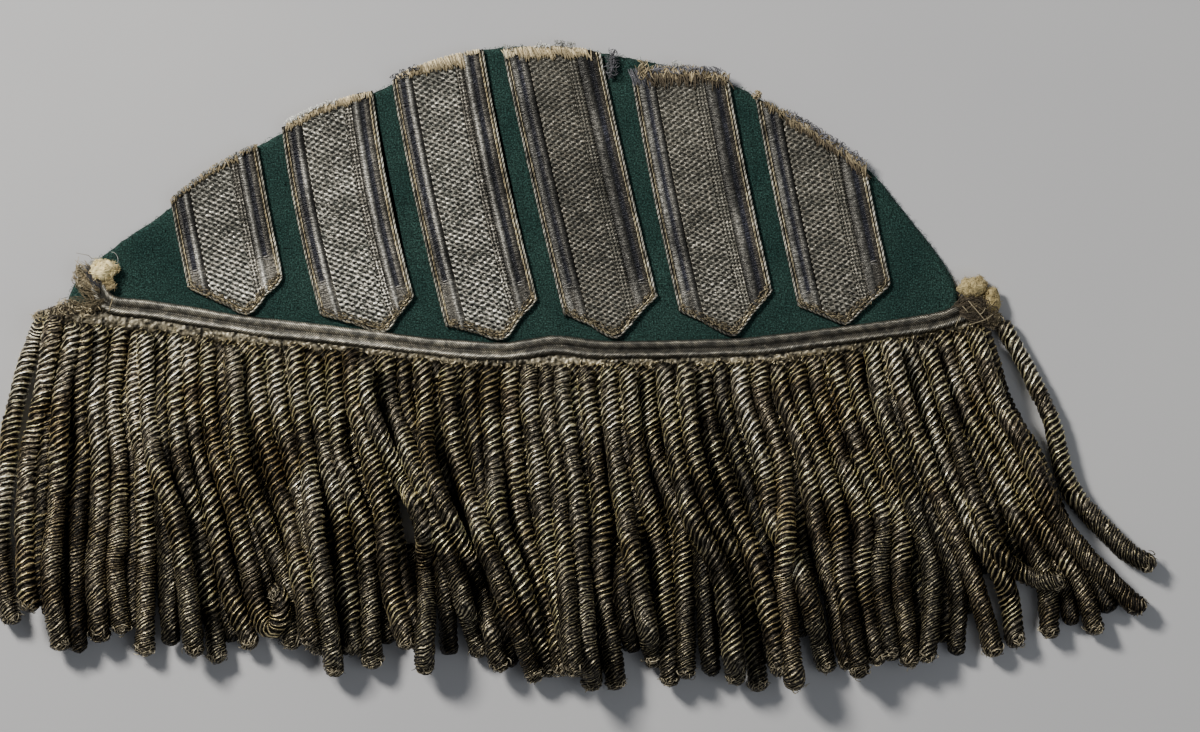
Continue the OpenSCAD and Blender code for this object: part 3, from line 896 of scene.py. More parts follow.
def build_edge_cords(stripe):
    """Twisted cords down one straight side, round the point and up the other side. Round the
    point they are duller and lie less evenly."""
    parts = []
    for number, (in_left, in_right, radius, colour) in enumerate(EDGE_CORDS[stripe.style]):
        halves = []
        for x, inset in ((stripe.left + in_left, in_left), (stripe.right - in_right, in_right)):
            corner = stripe.low(x) + 1.1 * inset
            top = stripe.high(x) - 0.2
            near = x - 0.7 * np.sign(x)
            halves.append([
                (x, top), (x, (corner + top) / 2), (x, corner + 1.6), (x, corner + 0.7),
                (near, stripe.low(near) + 1.05 * inset),
                (x * 0.5, stripe.low(x * 0.5) + 1.15 * inset),
            ])
        tip = (0.0, 1.3 * (in_left + in_right) / 2)
        line = smooth_line(halves[0] + [tip] + halves[1][::-1])
        s = travelled(line)
        at_point = np.clip(1 - (line[:, 1] - stripe.low(line[:, 0])) / 3, 0, 1)
        loose = 0.05 + 0.16 * at_point
        line[:, 0] += loose * drift_line(s, 1.6, 500 + number + 10 * stripe.number)
        line[:, 1] += loose * drift_line(s, 1.9, 520 + number + 10 * stripe.number)
        lift = LACE_TOP + radius * 0.6 + 0.06 * drift_line(s, 4.0, 540 + number)
        path = stripe.on_cloth(np.column_stack([line, lift]))
        points, faces, twist, at = twisted_strand(
            path, radius, pitch=1.2, starts=2, droop=0.0, rows_per_turn=3, columns=6,
            seed=7 * stripe.number + number, depth=0.3,
        )
        x, y = np.interp(at, s, line[:, 0]), np.interp(at, s, line[:, 1])
        glow = stripe.glow(x, y)
        glow = glow * stripe.light ** 0.3 * (1 - 0.66 * np.interp(at, s, at_point))
        glow = glow * (1 + 0.3 * drift_line(at, 4.0, 560 + number)) * np.where(x > 0, 1.4, 1.0)
        parts.append((points, faces, twist, glow[:, None] * np.array(colour)))
    points, faces, twist, rgb = gather(parts)
    return make_piece(f"lace_stripe_{stripe.number}_cords", points, faces, CORD,
                      maps={"twist": twist}, colours={"tone": rgb})


def build_point_edging(stripe):
    """Frayed ends along the pointed lower end: short bent threads that mostly follow the edge,
    tan and pale over dark, and the cross stitches that hold the ends of the navy threads."""
    rng = np.random.default_rng(600 + stripe.number)
    count = 260
    x = rng.uniform(stripe.left + 0.3, stripe.right - 0.3, count)
    y = stripe.low(x) + rng.uniform(0.05, 2.3, count)
    slope = (stripe.low(x + 0.1) - stripe.low(x - 0.1)) / 0.2
    headings = np.arctan(slope) + rng.normal(0, 0.4, count)
    middles = np.column_stack([x, y, LACE_TOP + EDGING_LIFT + rng.uniform(0, 0.25, count)])
    path = strewn(rng, middles, headings, (0.4, 1.1), (-0.2, 0.2), (0.03, 0.22))
    light = rng.uniform(0.15, 1.1, (count, 1)) ** 1.4 * stripe.light ** 0.3
    stitches = []
    for share, end in zip((0.12, 0.88), NAVY_ENDS[stripe.number - 1]):
        at = stripe.left + LACE_WIDTH * share
        if end >= stripe.low(at) + 1.5:
            for lean in (0.12, -0.25):
                stitches.append((at, end + lean * 2, LACE_TOP + STITCH_LIFT, lean))
    stitches = np.array(stitches)
    each = np.ones(len(stitches))
    crossing = arcs(stitches[:, :3], stitches[:, 3], 1.6 * each, 0 * each, 0.12 * each)
    points, faces, rgb = gather([
        threads(path, rng.uniform(0.07, 0.13, count), np.array([0.55, 0.46, 0.29]) * light, 3),
        threads(crossing, 0.1, np.array([0.55, 0.53, 0.5]) * stripe.light ** 0.5),
    ])
    return make_piece(f"lace_stripe_{stripe.number}_edging", stripe.on_cloth(points), faces,
                      METAL_THREAD, colours={"thread": rgb})


# Raw tops of the stripes: stripe, share of the width where the threads start and end, how far
# they stand out past the weave, their length at each end, how curly they are from 0 to 1, and
# their colour
RAW_TOPS = [
    # stripe from  to   out  lengths  curl colour
    (1, 0.00, 0.55, 0.5, 1.3, 1.7, 0.35, TAN * 0.9),
    (1, 0.35, 0.78, 0.7, 1.6, 2.3, 0.3, TAN * 1.2),
    (1, 0.80, 1.00, 0.4, 0.9, 1.3, 0.5, TAN),
    (1, 0.05, 0.95, 0.4, 0.5, 0.8, 0.6, WHITE * 0.55),
    (2, 0.05, 0.85, 0.2, 1.7, 2.1, 0.2, TAN * 1.1),
    (2, 0.08, 0.80, 0.4, 1.2, 1.7, 0.1, CREAM * 1.4),
    (2, 0.05, 0.60, 0.8, 0.7, 0.9, 0.7, WHITE * 1.4),
    (2, 0.80, 0.98, 0.3, 1.0, 1.4, 0.2, CREAM * 1.3),
    (3, 0.06, 0.26, 0.3, 0.9, 1.6, 0.1, CREAM * 1.4),
    (3, 0.20, 0.80, 0.1, 2.2, 3.6, 0.14, TAN),
    (3, 0.24, 0.78, 0.3, 1.9, 3.2, 0.05, CREAM * 1.55),
    (3, 0.80, 0.97, 0.3, 0.9, 1.1, 0.1, CREAM * 1.4),
    (3, 0.02, 0.30, 0.4, 0.7, 0.9, 0.9, SMOKE),
    (4, 0.00, 0.17, 0.3, 2.4, 1.9, 0.08, CREAM * 1.4),
    (4, 0.15, 0.90, 0.1, 2.9, 2.4, 0.2, TAN * 1.3),
    (4, 0.18, 0.86, 0.3, 2.4, 2.0, 0.08, CREAM * 1.5),
    (4, 0.02, 0.12, 1.0, 0.9, 0.9, 0.8, WHITE * 0.8),
    (4, 0.35, 0.50, 1.0, 0.9, 0.9, 0.8, WHITE * 1.2),
    (4, 0.55, 0.75, 1.5, 1.2, 1.2, 0.8, WHITE * 0.7),
    (5, 0.00, 0.20, 2.8, 4.0, 4.4, 0.06, SMOKE * 1.5),
    (5, 0.15, 1.00, 2.2, 4.2, 4.0, 0.3, BROWN * 1.8),
    (5, 0.20, 0.34, 3.0, 3.2, 3.2, 0.3, CREAM * 0.8),
    (5, 0.34, 0.80, 2.8, 3.2, 2.6, 0.45, TAN * 1.2),
    (5, 0.42, 0.58, 2.6, 2.0, 2.0, 0.3, CREAM),
    (5, 0.25, 0.95, 2.8, 1.6, 1.6, 0.8, SMOKE * 2.2),
    (5, 0.45, 0.55, 3.4, 1.0, 1.0, 0.9, WHITE),
    (5, 0.75, 1.00, 1.6, 1.8, 2.0, 0.6, TAN * 1.1),
    (6, 0.08, 0.40, 0.5, 1.6, 2.8, 0.4, TAN * 0.7),
    (6, 0.25, 1.00, 0.6, 3.6, 4.4, 0.25, BROWN * 1.9),
    (6, 0.28, 1.00, 0.9, 2.8, 3.6, 0.4, TAN * 0.85),
    (6, 0.30, 1.00, 1.3, 1.4, 1.8, 0.9, SMOKE * 2.4),
    (6, 0.40, 0.56, 0.8, 2.2, 2.4, 0.3, CREAM * 0.8),
    (6, 0.64, 0.84, 0.9, 2.0, 2.2, 0.5, CREAM * 0.7),
    (6, 0.86, 0.98, 0.9, 2.6, 2.8, 0.2, CREAM * 0.9),
]
# Millimetres from one cut thread to the next
THREAD_SPACING = 0.23


def build_raw_top(stripe):
    """Cut threads along the raw top. The straight ones lie side by side down the stripe, and
    the curly ones turn and bend by as much as their curl says. Each stands in its own place of
    a soft pleat, which lifts it, and its colour is painted lighter on the raised folds and
    darker in the creases, as light and shade."""
    number = stripe.number
    rng = np.random.default_rng(700 + number)
    parts = []
    for start, end, out, long_a, long_b, curl, colour in (
            row[1:] for row in RAW_TOPS if row[0] == number):
        width = (end - start) * LACE_WIDTH
        count = int(width / THREAD_SPACING * (1.0 if curl < 0.4 else 1.3))
        share = start + (end - start) * (np.arange(count) + 0.5) / count
        x = stripe.left + share * LACE_WIDTH + rng.uniform(-0.1, 0.1, count)
        length = np.interp(share, [start, end], [long_a, long_b])
        ragged = min(0.25 + 2.5 * curl, 1 + 2 * curl)
        length = length * (1 + rng.uniform(-0.22, 0.18, count) * ragged)
        length = length * (1 + 0.25 * drift_line(x, 1.1, 730 + number))
        y = stripe.high(x) + out - length / 2 + rng.uniform(-0.2, 0.2, count) * ragged
        pleat = 0.5 + 0.5 * drift_line(x, 0.7, 720 + number)
        lift = LACE_TOP + RAW_TOP_LIFT + 0.35 * pleat + rng.uniform(0, 0.9, count) * curl
        headings = np.pi / 2 + 0.12 + rng.normal(0, 0.05 + curl, count)
        bends = rng.normal(0, 0.03 + 0.45 * curl, count)
        rise = rng.uniform(0.02, 0.12 + 0.5 * curl, count)
        path = arcs(np.column_stack([x, y, lift]), headings, length, bends, rise)
        # Painted light and shade: lighter where the pleat lifts the thread, darker in its creases
        light = (0.6 + 0.7 * pleat) * (1 + rng.uniform(-0.35, 0.25, count) * min(ragged, 1))
        radius = rng.uniform(0.13, 0.2, count) * (1 - 0.35 * curl)
        parts.append(threads(path, radius, colour * light[:, None]))
    points, faces, rgb = gather(parts)
    return make_piece(f"lace_stripe_{number}_raw_top", stripe.on_cloth(points), faces,
                      FIBRE, colours={"thread": rgb})


# Edge braid

# Centre line of the braid in pixels, from its turned-up left end
BRAID_LINE = [
    (100, 277), (98, 285), (101, 295), (107, 302), (117, 306), (145, 309), (175, 313.5),
    (250, 325.5), (332, 335), (440, 347.5), (500, 351.5), (530, 348), (557, 345), (590, 348.8),
    (619, 349.8), (679, 349), (753, 346.2), (824, 337.6), (899, 327.8), (940, 321), (968, 311),
]
# How light the braid is along the nest, and how strongly its painted ridge light and shade show
BRAID_LIGHT = [
    # x in pixels, lightness, contrast
    (100, 0.7, 1.0), (150, 0.95, 1.0), (250, 1.0, 0.95), (400, 0.95, 0.85), (500, 0.75, 0.75),
    (570, 0.54, 0.4), (640, 0.45, 0.25), (760, 0.46, 0.2), (850, 0.43, 0.2), (968, 0.43, 0.4),
]
# Half the braid's width, and the length of braid to each bundle of its threads
BRAID_HALF = 2.12
BUNDLE_PITCH = 1.3
# Painted light and shade: lighter on the crests of the two ridges, darker in the valley and edges
# How light the threads are across the braid: from its lower edge at -1 to its upper at 1
BRAID_SHADE = (
    [-1.0, -0.86, -0.74, -0.62, -0.5, -0.38, -0.28, -0.16, 0.0, 0.12, 0.24, 0.4, 0.68, 0.88, 1.0],
    [0.12, 0.34, 0.6, 1.05, 1.4, 1.25, 0.75, 0.5, 0.5, 0.6, 0.65, 0.65, 1.05, 0.7, 0.12],
)


def build_braid():
    """Two half-round ridges side by side, which meet in a valley: at a way across from the middle
    of a ridge the height is the square root of one less the square of that way over the ridge's
    half width. Bundles of threads slant over each ridge as a shallow wave. The colour is painted
    lighter on the crests and darker in the valley and at the edges, as light and shade."""
    centre = smooth_line(place(BRAID_LINE), 0.36)
    s = travelled(centre)
    path = np.column_stack([centre, np.full(len(centre), BRAID_BACK)])
    side, _ = frames(path)
    half = BRAID_HALF + 0.12 * drift_line(s, 9.0, 140)
    top = np.linspace(-1, 1, 25)
    ridge = (np.abs(top) - 0.54) / 0.5
    height = np.sqrt(np.clip(1 - ridge ** 2, 0.14, 1)) * 1.65 + 0.15
    height[[0, -1]] = 0.6
    across = np.concatenate([top, [0.96, 0.0, -0.96]])
    height = np.concatenate([height, [0, 0, 0]])
    fall = np.interp(s, [0, 3, s[-1] - 4, s[-1]], [0.8, 1, 1, 0.55])
    swell = fall * (1 + 0.05 * drift_line(s, 4.0, 141))
    grid = path[:, None] + side[:, None] * (half[:, None] * across[None])[..., None]
    slant = s[:, None] + 1.1 * np.abs(across)[None] * BRAID_HALF
    bump = 0.05 * np.sin(slant * FULL_TURN / BUNDLE_PITCH)
    bump = bump + 0.07 * drift(s[:, None], across[None] * 3, 0.9, 142)
    grid[..., 2] += height[None] * swell[:, None] + bump * (height[None] > 0)
    points = np.vstack([grid.reshape(-1, 3), grid[0].mean(0), grid[-1].mean(0)])
    faces = tube_triangles(*grid.shape[:2])[:, ::-1]
    flat = np.stack(np.broadcast_arrays(s[:, None], across[None] * BRAID_HALF), -1)
    flat = np.vstack([flat.reshape(-1, 2), [[0, 0], [s[-1], 0]]])
    lean = across[None] + 0.14 * drift_line(s, 7.0, 145)[:, None]
    # Painted light and shade across the two ridges, toned down along the nest by the contrast
    lit = np.interp(np.clip(lean, -1, 1), *BRAID_SHADE)
    x, lightness, contrast = np.array(BRAID_LIGHT).T
    x = (x - ORIGIN_PIXEL[0]) * PIXEL
    lit = 0.72 + (lit - 0.72) * np.interp(centre[:, 0], x, contrast)[:, None]
    worn = 1 + 0.25 * drift_line(s, 11.0, 143) + 0.18 * drift_line(s, 1.5, 144)
    worn = worn * np.interp(centre[:, 0], x, lightness)
    rgb = (worn[:, None] * lit)[..., None] * np.array([0.232, 0.222, 0.193])
    rgb = np.vstack([rgb.reshape(-1, 3), np.full((2, 3), 0.05)])
    make_piece("edge_braid_plait", points, faces, BRAID, maps={"flat": flat[faces]},
               colours={"thread": rgb}, nodes=["edge_braid"])


# Fringe heading

# Line where the strands come out of the heading, in pixels
ROOTS = np.array([
    (30, 322), (45, 320), (100, 331), (150, 336), (200, 341), (250, 346), (330, 353), (400, 361),
    (450, 366), (520, 370), (600, 368), (700, 368), (770, 365), (850, 352), (900, 343),
    (950, 335), (1000, 322), (1010, 320),
], float)
# Millimetres of heading to each puff
PUFF_PITCH = 1.15
# How light the heading is along the nest: x in millimetres, lightness
HEADING_LIGHT = ([-110, -85, -55, 0, 38, 75, 105], [0.5, 0.85, 0.92, 1.18, 0.98, 0.72, 0.62])


def build_heading():
    """Woven heading under the braid: a low roll across its depth, with puffs where each strand
    is sewn in, which are the square of a sine along its length, and random crumple. Its colour
    is painted lighter on the puffs as light, and darker next to the braid as its shadow."""
    ends = place([(34, 312), (66, 302), (960, 313), (1000, 316)])
    xs = np.linspace(ends[0, 0], ends[-1, 0], 760)
    root = place(ROOTS)
    low = np.interp(xs, root[:, 0], root[:, 1]) - 0.55 + 0.25 * drift_line(xs, 1.1, 150)
    high = np.where(xs < ends[1, 0], np.interp(xs, *ends[:2].T), seam_y(xs) - 0.2)
    high = np.where(xs > ends[2, 0], np.interp(xs, *ends[2:].T), high)
    high = high + 0.3 * drift_line(xs, 1.4, 151) * (xs < ends[1, 0] + 8)
    high = np.maximum(high, low + 0.6)
    ys = np.arange(-33.5, -14.0, 0.3)

    def puffs(x, y):
        return np.sin(np.pi * x / PUFF_PITCH + 1.5 * drift(x, y, 3.0, 152)) ** 2

    def top(x, y):
        lo, hi = np.interp(x, xs, low), np.interp(x, xs, high)
        roll = half_round(2 * np.clip((y - lo) / (hi - lo), 0, 1) - 1)
        return 0.5 + roll * (2.35 + 0.15 * puffs(x, y)) + 0.35 * drift(x, y, 0.55, 153) * roll

    points, faces, x, y = slab(xs, ys, low, high, top, 0.0)
    # Painted light on the raised puffs, and painted shadow of the braid within a millimetre of it
    lit = 0.66 + 0.16 * puffs(x, y) + 1.05 * drift(x, y, 0.6, 154) + 0.25 * drift(x, y, 6.0, 155)
    from_braid = seam_y(x) - BRAID_HALF - y
    lit = lit * np.interp(x, *HEADING_LIGHT) * np.interp(from_braid, [0.2, 1.0], [0.3, 1.0])
    rgb = np.clip(lit, 0.05, 2)[:, None] * np.array([0.42, 0.37, 0.26])
    make_piece("fringe_heading_gimp", points, faces, METAL_THREAD, colours={"thread": rgb},
               nodes=["fringe_head"])


def build_heading_loops():
    """Gold thread that puffs out of the heading: short bent lengths in clumps, most of them
    across the heading, with a few long ones along it."""
    rng = np.random.default_rng(17)
    root = place(ROOTS)
    count = 900
    x = rng.uniform(root[0, 0] + 2, root[-1, 0] - 1.5, count)
    lower = np.interp(x, root[:, 0], root[:, 1])
    y = lower + rng.uniform(-0.7, 2.3, count)
    lift = 2.75 - 0.35 * np.abs(y - lower - 0.8) + rng.uniform(-0.15, 0.25, count)
    path = strewn(rng, np.column_stack([x, y, lift]), rng.normal(1.2, 0.9, count),
                  (0.5, 1.5), (-0.5, 0.5), (0.1, 0.6))
    clump = 0.85 + 0.6 * drift_line(x, 1.1, 18) + 0.25 * drift_line(x, 14.0, 19)
    light = clump * rng.uniform(0.4, 1.4, count) ** 1.6 * np.interp(x, *HEADING_LIGHT)
    rgb = np.array([0.80, 0.69, 0.45]) * np.clip(light, 0.08, 2.2)[:, None]
    points, faces, rgb = threads(path, rng.uniform(0.11, 0.19, count), rgb, 3)
    make_piece("heading_loops", points, faces, METAL_THREAD, colours={"thread": rgb})


# Bullion strands

LEVELS = (400, 460, 520, 580)
UNDER, LOW, MIDDLE, TOP, LAID_OVER = range(5)
# Strands from left to right, in pixels: x at the root, x at each of the levels, and the tip
STRANDS = [
    # root   400    460    520    580   tip_x tip_y layer
    (57, 43, 29.5, 26, 29, 33, 612, TOP),
    (66, 53, 46, 42, 41, 45, 607, LOW),
    (76, 63, 59, 56, 53, 62, 650, TOP),
    (88, 80, 83, 78, 76.5, 78, 653, LOW),
    (101, 95.5, 101, 100, 96, 102, 642, TOP),
    (122, 113, 119.6, 118, 115.6, 122, 634, TOP),
    (140, 135, 143, 146, 145.5, 145, 657, TOP),
    (146, 149, 157, 178, 187, 196, 656, TOP),
    (160, 162, 166, 165, 170.6, 171, 646, LOW),
    (176, 176, 182.5, 196, 206.5, 219, 664, TOP),
    (190, 191, 198.5, 214.5, 227, 253, 649, TOP),
    (222, 224, 232, 250, 266, 282, 640, LOW),
    (233, 235.5, 242, 262.7, 286.6, 292, 650, TOP),
    (254, 257, 270, 290, 302.5, 312, 646, TOP),
    (274, 278, 292, 306, 316, 320, 655, MIDDLE),
    (295, 298.6, 308, 315, 324, 335, 676, TOP),
    (312, 317.7, 327, 341, 346, 356, 655, MIDDLE),
    (334, 336.5, 341, 361, 369.5, 372, 669, TOP),
    (352, 355, 372, 385, 391, 409, 649, TOP),
    (358, 366, 383, 393, 404, 424, 652, LOW),
    (366, 368, 393, 423, 427, 425, 672, TOP),
    (385, 390, 412.6, 436, 458, 482, 658, MIDDLE),
    (403, 405, 420, 436, 445, 450, 655, LOW),
    (421, 425, 428.6, 451, 478, 501, 671, TOP),
    (449, 448, 457.5, 477, 500, 537, 681, TOP),
    (471.5, 469.5, 478, 486, 497, 512, 668, LOW),
    (490.7, 488.6, 493, 498.6, 519, 552, 677, TOP),
    (510.6, 510, 513.8, 521, 538, 565, 676, TOP),
    (530, 529, 537, 544, 555, 575, 668, TOP),
    (547, 546.5, 555, 561, 566, 574, 675, TOP),
    (562.4, 562.4, 572, 578, 582, 592, 689, TOP),
    (586, 588, 596, 602, 602, 617, 690, TOP),
    (609.4, 610, 615.8, 626, 637, 656, 668, TOP),
    (620, 622, 628, 636, 622, 632, 652, LOW),
    (627, 630, 638, 652.5, 664, 670, 686, TOP),
    (647, 648.5, 656.5, 679, 684, 685, 679, TOP),
    (664.4, 667, 676.4, 693, 722, 736, 683, TOP),
    (675, 680, 686, 698, 703, 711, 676, LOW),
    (685, 687, 695, 715, 742, 759, 692, TOP),
    (703, 704, 716, 738, 760.5, 781, 675, TOP),
    (720, 722, 739, 757, 771, 786, 668, LOW),
    (740, 742, 761.5, 772, 802, 828, 673, MIDDLE),
    (760, 762, 781, 785, 783.6, 795, 686, TOP),
    (776, 783.6, 804, 815, 828, 850, 669, TOP),
    (795, 802, 821, 838, 843, 860, 678, TOP),
    (813, 821, 841, 862.6, 862, 878, 665, TOP),
    (833, 843, 862, 882.5, 879, 893, 660, TOP),
    (852, 860.5, 881, 900, 900, 910, 667, MIDDLE),
    (870, 880, 898, 917, 932, 925, 662, TOP),
    (882, 892, 908, 932, 955, 957, 656, LOW),
    (887, 903, 924, 947, 973, 995, 657, TOP),
    (905, 925, 943, 968, 1003, 1017, 648, TOP),
    (928, 946, 975, 993, 1000, 1001, 556, LOW),
    (940, 962, 991, 1017, 1046, 1049, 639, TOP),
    (957, 980, 1012, 1038, 1077, 1098, 635, TOP),
    (972, 997, 1029, 1057, 1108, 1144, 612, TOP),
    (980, 1004, 1034, 1060, 1095, 1112, 612, LOW),
]
# Strands that curl or lie apart: name, layer, CAD node, thickness and lightness as shares of
# the others', and the pixels that they run through
ODD_STRANDS = [
    ("left_end_strand_twist", TOP, "left_end_strand", 1.0, 1.0, [
        (44, 322), (36, 338), (26, 365), (17, 400), (11, 430), (8, 460), (2.5, 500),
        (0.5, 520), (1, 550), (4, 580), (8.5, 604), (12, 625)]),
    ("open_loop_strand", TOP, "bullion_fringe", 1.0, 0.8, [
        (210, 342), (208, 370), (208, 400), (212, 430), (218.5, 460), (229, 490), (238, 520),
        (246, 550), (252, 580), (257, 604), (265, 624), (275, 627), (282, 612), (279, 594),
        (270, 588)]),
    ("curled_over_strand", LAID_OVER, "bullion_fringe", 0.92, 1.0, [
        (922, 341), (930, 360), (943, 400), (953, 430), (962, 460), (970, 490), (980, 518),
        (988, 537), (997, 552), (1009, 564), (1022, 573), (1036, 579), (1050, 581), (1064, 581)]),
    ("stray_strand_twist", TOP, "stray_strand", 0.95, 0.7, [
        (1002, 321), (1006, 330), (1014, 345), (1023, 360), (1031, 376), (1039, 392),
        (1047, 408), (1053, 425), (1057, 442), (1061, 460), (1066, 478), (1074, 495),
        (1085, 509), (1102, 527), (1128, 552), (1155, 567)]),
]
# Places where the table shows between strands, in pixels: x, y, half width, half height
BARE_PLACES = [
    (39, 372, 9, 32), (18, 540, 7, 26), (410, 526, 5, 12), (465, 628, 12, 16),
    (510, 650, 8, 14), (645, 660, 12, 22), (821, 610, 7, 18), (810, 663, 13, 20),
    (998, 576, 7, 15), (990, 618, 14, 26), (1035, 611, 6, 24), (1012, 380, 16, 44),
    (1062, 500, 12, 30), (1092, 546, 20, 34), (270, 610, 9, 26),
]
# How far under strands stay from a bare place, and how many steps of 4 pixels the shortest has
BARE_MARGIN = 4
SHORTEST_UNDER = 12

# How thick and how light the strands of the two lower layers are, as shares of the others
UNDER_SIZE = 0.94
# The lower strands are painted darker, as shade under the upper ones
LOWER_LAYER_SHADE = 0.42
# Two strands touch when their middles are this share of their joined radii apart, because cord
# is soft, and a strand's middle lies at least this share of its radius over the table
TOUCH = 0.68
CLEAR = 1.07
# How light the strands are along the nest: places in millimetres, then lightness
STRAND_LIGHT = ([-120, -60, -20, 60, 85, 100], [1.35, 1.13, 0.78, 0.89, 0.98, 0.98])
# How light they are down their length: millimetres from the root, then lightness
LENGTH_LIGHT = ([0, 2.5, 7, 20, 45, 70], [0.5, 1.5, 1.6, 1.2, 0.95, 0.78])


def root_y(x):
    return np.interp(x, ROOTS[:, 0], ROOTS[:, 1])


def charted_line(row):
    """Pixels that a strand of the table runs through, from its root to its tip."""
    return np.column_stack([row[:6], (root_y(row[0]) - 5, *LEVELS, row[6])])


def under_strands():
    """Strands of the lower layer: each runs midway between two neighbours of the table, a
    little shorter. Where the table shows it is cut, and a long lower length is kept."""
    rng = np.random.default_rng(5)
    rows = sorted(STRANDS, key=lambda row: row[0])
    found = []
    for left, right in zip(rows[:-1], rows[1:]):
        line = (charted_line(left) + charted_line(right)) / 2
        line[:, 0] += rng.uniform(-2, 2)
        line[-1, 1] -= rng.uniform(6, 20)
        path = smooth_line(line, 4.0)
        inside = np.zeros(len(path), bool)
        for x, y, half_w, half_h in BARE_PLACES:
            inside |= (np.abs(path[:, 0] - x) < half_w + BARE_MARGIN) & (
                np.abs(path[:, 1] - y) < half_h + BARE_MARGIN)
        ends = np.flatnonzero(np.diff(np.concatenate([[1], inside, [1]])))
        for start, end in zip(ends[::2], ends[1::2]):
            if end - start >= SHORTEST_UNDER:
                found.append(path[start:end:3])
    return found


def thickness(radius, s):
    """Radius of a strand along its length: it swells in its lower half, where it is looser."""
    return radius * (1 + STRAND_SWELL * np.clip((s - 16) / 30, 0, 1))


def settle(paths, radii):
    """Height of each strand's middle along its length, laid down in order: it rests on the table
    or on the strands under it, where the square of its height over theirs is the square of the
    reach at which they touch less that of how far apart they lie. The heights are evened."""
    settled, placed = [], np.zeros((0, 4))
    for path, radius in zip(paths, radii):
        size = thickness(radius, travelled(path))
        height = size.copy()
        if len(placed):
            apart = np.hypot(*(path[:, None, :2] - placed[None, :, :2]).transpose(2, 0, 1))
            reach = TOUCH * (size[:, None] + placed[None, :, 3])
            lift = placed[None, :, 2] + np.sqrt(np.clip(reach ** 2 - apart ** 2, 0, None))
            lift = np.where(apart < reach, lift, 0).max(1)
            height = np.maximum(height, lift)
        height = np.maximum(blur(height, 5), blur(height, 2) - 0.3)
        path = np.column_stack([path, np.maximum(height, size * CLEAR)])
        settled.append(path)
        placed = np.vstack([placed, np.column_stack([path, size])])
    return settled


def twisted_strand(path, radius, pitch, starts, droop, rows_per_turn, columns, seed, depth,
                   wear_from=None):
    """Surface of a twisted strand. A point at turn u and angle a, where a is 0 on top, lies at
    the length u - lead * a / full turn + droop * (1 - cos a) along the path, so lines of equal
    u run round the strand as its ridges do. The radius rises from a valley to a crest and back
    once in each pitch as the square of a sine, less where the twist is worn. Past wear_from the
    strand is thicker and the twist shallower. It closes at both ends as a half-round. Returns
    points, triangles, the twist map and the length of each point."""
    side, up = frames(path)
    s = travelled(path)
    length, lead = s[-1], pitch * starts
    step = pitch / rows_per_turn
    u = np.arange(-lead / 2 - 2 * droop - 2 * pitch, length + lead / 2 + 2 * pitch, step)
    u = np.round(u / step) * step
    angle = np.linspace(-np.pi, np.pi, columns + 1)
    at = u[:, None] - lead * angle[None] / FULL_TURN + droop * (1 - np.cos(angle[None]))
    rows = len(u)
    i, j = np.meshgrid(np.arange(rows), np.arange(columns + 1), indexing="ij")
    seam_row = np.where(j == columns, i - rows_per_turn * starts, i)
    ids = np.where(seam_row < 0, 0, seam_row) * columns + j % columns
    ids = np.where((at <= 0) | (seam_row < 0), rows * columns, ids)
    ids = np.where(at >= length, rows * columns + 1, ids)
    at = np.clip(at[:, :columns], 0, length)
    angle = angle[None, :columns]
    shift, about = at + 13 * seed, radius * angle + 50
    wander = 0.3 * pitch * drift(shift, about, 3.2, 200)
    wander = wander + 0.14 * pitch * drift(shift, about, 1.2, 202)
    inset = np.clip(np.minimum(at, length - at) / (0.95 * radius), 0, 1)
    round_end = half_round(1 - inset)
    turn = np.sin(np.pi * u / pitch)[:, None] ** 2
    worn = 0.8 + 0.45 * drift(shift, about, 2.4, 203)
    swell = 1 + 0.06 * drift_line(shift, 5.0, 201) + 0.075 * drift(shift, about, 1.3, 204)
    loose = 0.0
    if wear_from is not None:
        swell = swell * thickness(1.0, at)
        loose = np.clip((at - wear_from) / 10, 0, 1)
    cut_in = depth * np.clip(worn, 0.3, 1.25) * (1 - 0.4 * loose)
    size = radius * swell * (1 - cut_in * (1 - turn)) * round_end
    where = np.clip(at + wander * round_end, 0, length)
    centre, across, upward = (
        np.stack([np.interp(where, s, line[:, k]) for k in range(3)], -1)
        for line in (path, side, up)
    )
    out = across * np.sin(angle)[..., None] + upward * np.cos(angle)[..., None]
    points = (centre + size[..., None] * out).reshape(-1, 3)
    points = np.vstack([points, path[0], path[-1]])
    lengths = np.concatenate([at.ravel(), [0, length]])
    row, column = (corners[:, ::-1] for corners in grid_triangles(len(u), columns + 1))
    twist = np.stack([u[row] / pitch, column / columns], -1)
    points, faces, used, twist = tidy(points, ids[row, column], twist)
    return points, faces, twist, lengths[used]


